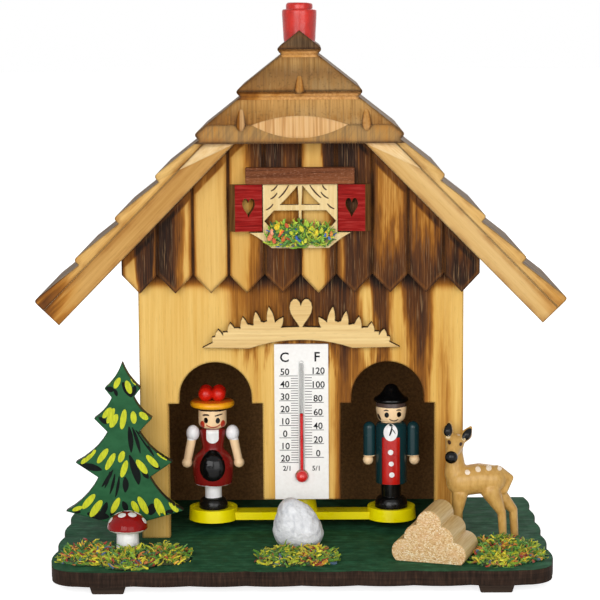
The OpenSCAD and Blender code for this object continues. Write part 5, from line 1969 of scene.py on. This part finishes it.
@dataclass
class Flowers(Shreds):
    """Clump of leaves with tulip heads under the window.

    A head is its place right of the middle and above the clump's foot, its half height, in
    millimetres, and its colour.
    """

    length: Pair = (1.6 * MM, 3.6 * MM)
    width: Pair = (0.5 * MM, 0.95 * MM)
    dyes: tuple[tuple[str, int], ...] = (
        ("#86b82c", 7), ("#b4cc36", 6), ("#4f8a2a", 6), ("#dcdc38", 5), ("#2a6030", 4), ("#3d66b0", 1),
        ("#e0602a", 1))
    flat: float = 0.4
    light: Pair = (0.7, 1.15)
    tip_side: Pair = (-3.0, 3.0)
    tip_rise: Pair = (-0.2, 3.0)
    tip_out: Pair = (0.0, 0.6)
    depth: Pair = (0.2, 0.75)
    head_out: Pair = (0.7, 1.3)
    head_light: Pair = (0.9, 1.1)
    head_lean: Pair = (-35.0, 35.0)
    head_nod: Pair = (-30.0, 10.0)
    heads: tuple[tuple[float, float, float, str], ...] = (
        (-10.0, 3.2, 1.5, "#ee8a5c"), (-8.6, 1.9, 1.1, "#e4683c"), (-7.6, 6.8, 1.6, "#f5d21e"),
        (-6.2, 5.2, 1.2, "#f2b81c"), (-4.4, 7.0, 1.0, "#dc5a2c"), (-5.6, 2.6, 1.2, "#d8642a"),
        (-3.0, 4.8, 1.2, "#c8cf2e"), (-1.2, 3.0, 0.8, "#3d66b0"), (0.4, 5.8, 1.3, "#d8d62c"),
        (2.2, 7.4, 1.2, "#a8c838"), (3.4, 5.6, 1.5, "#e8dc28"), (5.2, 4.4, 1.3, "#e9d22a"),
        (4.4, 2.6, 0.8, "#7fae34"), (6.8, 5.2, 1.2, "#c6cf34"), (8.4, 4.0, 1.2, "#f0c22a"),
        (9.4, 2.8, 0.8, "#4a74bc"), (10.0, 4.2, 1.0, "#e8923a"), (7.2, 2.3, 0.9, "#86b438"),
        (-9.2, 4.8, 1.2, "#f0a07a"), (1.6, 2.0, 1.0, "#d6d83c"))

    def mound(self) -> BVHTree:
        """Finds the front of the clump, which has no mound.

        Returns:
            Search tree of the clump's node.
        """
        source = self.shop.merged(self.node)
        tree = BVHTree.FromBMesh(source)
        source.free()
        return tree

    def plant(self) -> bool:
        """Sets one leaf in the clump.

        Returns:
            False where the clump isn't seen from the front.
        """
        pick, low, high = self.pick, self.low, self.high
        x, z = pick.uniform(low.x, high.x), pick.uniform(low.z, high.z)
        hit = self.tree.ray_cast(Vector((x, low.y - 1, z)), Vector((0.0, 1.0, 0.0)))[0]
        if hit is None:
            return False
        mesh = pick.choice(self.shapes).copy()
        long, wide = pick.uniform(*self.length), pick.uniform(*self.width)
        tip = Vector((pick.uniform(*self.tip_side) * MM, 0.0, pick.uniform(*self.tip_rise) * MM)).normalized()
        aim = tip + Vector((0.0, -pick.uniform(*self.tip_out), 0.0))
        turn = aim.to_track_quat("Z", "Y").to_matrix().to_4x4()
        deep = hit.y + pick.uniform(*self.depth) * (high.y - hit.y)
        spot = Matrix.Translation((x, deep, max(low.z, z - long * 0.6)))
        turn = turn @ Matrix.Rotation(pick.uniform(0, self.spin), 4, "Z")
        mesh.transform(spot @ turn @ Matrix.Diagonal((wide, wide * self.flat, long, 1.0)))
        self.add_dyed(mesh, pick.choice(self.codes), pick.uniform(*self.light))
        return True

    def crown(self) -> None:
        """Sets the flower heads in front of the leaves."""
        for x, z, size, code in self.heads:
            y = self.low.y + self.pick.uniform(*self.head_out) * MM
            self.head(Vector((x * MM, y, self.low.z + z * MM)), size * MM, code)

    def head(self, at: Vector, size: float, code: str) -> None:
        """Makes one pointed flower head.

        Args:
            at: Its middle.
            size: Its half height.
            code: Its colour.
        """
        part = bmesh.new()
        bmesh.ops.create_uvsphere(part, u_segments=9, v_segments=6, radius=1.0)
        for v in part.verts:
            petal = 1 + 0.25 * math.cos(3 * math.atan2(v.co.y, v.co.x))
            close = petal * (1 - 0.3 * max(0.0, v.co.z))
            point = 0.3 * petal if v.co.z > 0.4 else 0.0
            v.co = Vector((v.co.x * close * 0.7, v.co.y * close * 0.6, v.co.z + point)) * (0.8 * size)
        mesh = self.undyed("head", part)
        light = self.pick.uniform(*self.head_light)
        lean = Matrix.Rotation(math.radians(self.pick.uniform(*self.head_lean)), 4, "Y")
        nod = Matrix.Rotation(math.radians(self.pick.uniform(*self.head_nod)), 4, "X")
        mesh.transform(Matrix.Translation(at) @ lean @ nod)
        self.add_dyed(mesh, code, light)


@dataclass
class Fir(Painted):
    """Flat fir tree with brushed dabs and dark strokes, in millimetres from its tip.

    A dab is its place, half length, half width and turn. A stroke is its two ends and its width.
    """

    arris: float = 0.25 * MM
    broad: float = 1.35
    stroke_lift: float = 0.06
    dab_lift: float = 0.12
    lift_step: float = 0.002
    dabs: tuple[tuple[float, float, float, float, float], ...] = (
        (-3.3, -5.2, 2.8, 0.9, 60), (-1.7, -6.9, 2.0, 0.9, 63), (2.0, -8.3, 2.3, 1.0, 108),
        (3.6, -6.4, 1.5, 0.4, 124), (-5.2, -16.8, 2.2, 0.9, 51), (-4.0, -17.8, 2.8, 0.9, 65),
        (-3.0, -19.5, 2.5, 1.1, 63), (0.1, -19.0, 3.4, 1.0, 80), (3.5, -18.4, 2.1, 1.0, 95),
        (6.8, -17.9, 1.8, 1.0, 139), (-11.6, -31.5, 3.4, 0.9, 43), (-6.9, -31.2, 3.0, 1.0, 54),
        (-4.4, -33.1, 3.2, 1.0, 61), (-0.7, -31.5, 2.0, 1.0, 70), (0.1, -35.6, 3.0, 1.0, 72),
        (5.9, -34.9, 2.9, 1.1, 126), (9.4, -33.1, 2.8, 1.0, 133), (12.6, -31.6, 2.0, 0.4, 145),
        (-11.8, -46.5, 3.2, 1.1, 49), (-9.4, -48.9, 3.4, 1.2, 55), (-3.0, -47.9, 2.9, 1.0, 63),
        (3.5, -48.4, 2.2, 1.0, 118), (6.1, -47.9, 3.3, 1.1, 117), (11.6, -48.9, 3.6, 1.4, 112),
        (16.2, -48.2, 2.4, 1.1, 124), (-15.6, -48.9, 1.8, 0.7, 20))
    strokes: tuple[tuple[float, float, float, float, float], ...] = (
        (-5.4, -8.6, -2.8, -9.4, 1.4), (-2.8, -8.9, -1.9, -11.3, 0.9), (0.0, -6.7, 3.0, -11.6, 1.9),
        (4.2, -7.8, 2.5, -11.6, 1.4), (-8.0, -18.3, -5.2, -20.5, 1.2), (1.9, -21.4, 2.5, -30.1, 1.3),
        (3.0, -21.7, 5.5, -30.4, 0.9), (4.1, -22.6, 10.0, -31.4, 0.8), (1.9, -31.0, 4.8, -40.9, 1.7),
        (-14.6, -34.0, -7.3, -35.9, 1.7), (-7.4, -41.6, -3.6, -35.9, 0.9), (-6.4, -42.0, -4.6, -36.4, 0.7),
        (-4.8, -44.1, -3.0, -37.2, 0.7), (-3.0, -45.2, -1.6, -38.0, 0.7), (0.3, -38.3, 0.3, -43.5, 1.5),
        (3.3, -33.7, 4.8, -40.8, 1.7), (5.8, -36.4, 8.0, -38.9, 1.2), (9.1, -34.2, 11.9, -35.7, 1.2),
        (-17.4, -49.2, -14.6, -50.2, 1.2), (-12.4, -50.6, -5.2, -51.8, 2.2),
        (-8.0, -51.4, -5.8, -46.8, 1.4), (-4.7, -51.4, -2.8, -47.3, 1.2), (-0.6, -46.5, 0.6, -50.0, 1.4),
        (8.3, -51.2, 9.1, -47.3, 2.2), (13.2, -50.4, 16.6, -51.0, 2.0), (16.3, -50.0, 14.6, -46.2, 1.1))

    def build(self) -> None:
        """Dresses the plate and lays the brush marks, each a little over the last."""
        low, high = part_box("fir_tree")
        green = SheetPaint("fir_green", "#285a38", "#1f4d2e", rough=0.45, gloss=0.08,
                           stroke=(5 * MM, 5 * MM, 3 * MM))
        self.shop.dress("fir_tree", green, self.arris)
        self.take_brush(self.shop.nodes["fir_tree"].data, ((low.x + high.x) / 2, 0.0, high.z))
        for i, (x0, z0, x1, z1, width) in enumerate(self.strokes):
            self.brush.lift = (self.stroke_lift + self.lift_step * i) * MM
            middle = ((x0 + x1) / 2 + 0.4, (z0 + z1) / 2)
            self.stroke([(x0, z0), middle, (x1, z1)], self.broad * width, 0.8)
        black = Paint("stroke_black", "#0f1412", "#080b0a", rough=0.5, gloss=0.06)
        self.coat("fir_strokes", black, "fir_paint", 40.0)
        for i, (x, z, long, wide, turn) in enumerate(self.dabs):
            self.brush.lift = (self.dab_lift + self.lift_step * i) * MM
            self.dab(x, z, long, wide, turn=turn, cuts=1)
        yellow = Paint("dab_yellow_green", "#c3c81f", "#a6ae14", rough=0.35, gloss=0.25,
                       stroke=(0.5 * MM, 0.5 * MM, 2 * MM), depth=0.1 * MM)
        self.coat("fir_dabs", yellow, "fir_paint", 40.0)


@dataclass
class Toadstool(Painted):
    """White stem and a glossy red cap with white spots.

    A spot is its angle round the cap, its angle up, in degrees, and its radius in millimetres.
    """

    arris: float = 0.3 * MM
    cuts: int = 3
    rim: float = 16.2 * MM
    spots: tuple[Triple, ...] = (
        (-32.0, 58.0, 1.35), (42.0, 60.0, 1.45), (118.0, 50.0, 1.4), (178.0, 62.0, 1.5), (240.0, 50.0, 1.4),
        (80.0, 24.0, 1.2), (-78.0, 26.0, 1.2), (165.0, 22.0, 1.3))

    def build(self) -> None:
        """Dresses the stem and the cap, and lays the spots."""
        self.shop.dress("toadstool_stem", WHITE, self.arris, self.cuts)
        bands = ((0.0, "#ece9e2"), (0.9, "#8c0e0c"))
        red = BandPaint("cap_red", bands, self.rim, 8 * MM, rough=0.12, gloss=0.14)
        cap = self.shop.dress("toadstool_cap", red, self.arris, self.cuts)
        low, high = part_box("toadstool_cap")
        self.take_brush(cap.data, ((low.x + high.x) / 2, (low.y + high.y) / 2, low.z + 1 * MM), 0.1 * MM)
        for around, up, radius in self.spots:
            a, e = math.radians(around - 90), math.radians(up)
            self.brush.aim(-Vector((math.cos(a) * math.cos(e), math.sin(a) * math.cos(e), math.sin(e))))
            self.dab(0.0, 0.0, radius, radius * 0.9)
        self.coat("cap_spots", WHITE, "white_paint")


@dataclass
class Stone(Assembly):
    """Chipped lump of white quartz."""

    face: float = 0.55 * MM
    rounds: int = 3
    chip: float = 0.55 * MM
    broad: float = 5 * MM
    fine: float = 1.6 * MM
    foot: float = 2 * MM

    def build(self) -> None:
        """Chips an even copy of the node and lets it stand for it."""
        bm = self.shop.remeshed("stone", self.face, self.rounds)
        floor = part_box("stone")[0].z
        for v in bm.verts:
            facet = noise.voronoi(v.co / self.broad)[0][0]
            grit = noise.noise(v.co / self.fine)
            share = min(1.0, (v.co.z - floor) / self.foot)
            v.co += v.normal * (0.3 - facet + 0.3 * grit) * self.chip * share
            v.co.z = max(floor, v.co.z)
        bm.normal_update()
        self.shop.piece("quartz_stone", bm, Quartz("quartz"), Body.HOUSE, "quartz", ["stone"], 50.0)


@dataclass
class Fawn(Painted):
    """Fawn with a smooth coat, glossy nose and ears, and white spots."""

    face: float = 0.33 * MM
    rounds: int = 2
    place: Pair = (51.5 * MM, -16 * MM)
    nose_radius: float = 2.1 * MM
    nose_depth: float = 0.85
    nose_place: Triple = (-2.4 * MM, -21.6 * MM, 30.5 * MM)
    spots: tuple[Triple, ...] = ((3.1, 25.0, 0.85), (6.6, 25.9, 0.9), (10.2, 26.2, 0.95), (13.9, 25.9, 0.8))

    def build(self) -> None:
        """Smooths the node and paints the details."""
        body = self.shop.remeshed("fawn", self.face, self.rounds)
        satin = FawnCoat("fawn_coat", "#cba25c", "#b68a45", rough=0.3, gloss=0.25,
                         stroke=(1.2 * MM, 1.2 * MM, 3 * MM))
        obj = self.shop.piece("fawn_body", body, satin, self.body, "fawn_paint", ["fawn"], 75.0)
        self.take_brush(obj.data, (*self.place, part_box("fawn")[0].z), 0.1 * MM)
        for x, z, radius in self.spots:
            self.dab(x, z, radius, 0.85 * radius)
        self.coat("fawn_spots", Paint("spot_cream", "#f4e6d2", "#e6cfae", rough=0.4), "white_paint")
        self.dab(-3.2, 36.4, 0.8, 0.5, turn=20)
        self.dab(1.9, 35.7, 0.8, 0.5, turn=-30)
        self.coat("fawn_ear_patches", Paint("patch_tan", "#ead2a4", "#d8b880", rough=0.4), "fawn_paint")
        self.dab(-2.9, 35.0, 0.55, 0.6)
        self.dab(0.9, 34.4, 0.55, 0.6)
        self.coat("fawn_eyes", BROW, "fawn_paint")
        self.dab(-3.1, 38.7, 1.7, 2.2, turn=-10, egg=0.4, cuts=5)
        self.dab(3.2, 37.2, 1.65, 2.2, turn=-34, egg=0.4, cuts=5)
        self.coat("fawn_ears", BLACK, "black_paint")
        self.nose()

    def nose(self) -> None:
        """Makes the glossy ball of the nose."""
        bm = bmesh.new()
        bmesh.ops.create_icosphere(bm, subdivisions=4, radius=self.nose_radius)
        bmesh.ops.scale(bm, verts=bm.verts, vec=(1.0, self.nose_depth, 1.0))
        x, y, z = self.nose_place
        bmesh.ops.translate(bm, verts=bm.verts, vec=(self.origin[0] + x, y, self.origin[2] + z))
        self.shop.piece("fawn_nose", bm, BLACK, self.body, "black_paint")


@dataclass
class LogPile(Assembly):
    """Pile of pale logs."""

    arris: float = 0.35 * MM

    def build(self) -> None:
        """Dresses the pile."""
        self.shop.dress("log_pile", Logs("log_wood", "#dfc48c", "#cba86c"), self.arris)


def main() -> None:
    """Builds the studio and every sub-assembly."""
    logging.basicConfig(level=logging.INFO, format="%(name)s: %(message)s")
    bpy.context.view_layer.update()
    bpy.context.scene.view_settings.view_transform = "Standard"
    Viewpoint().build()
    Studio().build()
    shop = Workshop(frame["nodes"])
    parts = [
        Base(shop), House(shop), Roof(shop), Mechanism(shop), Woman(shop), Man(shop), Thermometer(shop),
        Sign(shop), Window(shop), Fir(shop), Toadstool(shop), Stone(shop), Fawn(shop),
        Shreds(shop, "moss_left", "moss_left_shreds", 1100, 3),
        Shreds(shop, "moss_centre", "moss_centre_shreds", 620, 5),
        Shreds(shop, "moss_right", "moss_right_shreds", 980, 7),
        Flowers(shop, "window_flowers", "window_flower_clump", 360, 11),
        LogPile(shop),
    ]
    for part in parts:
        part.build()
        LOG.info("built %s", type(part).__name__)


if __name__ == "__main__":
    main()
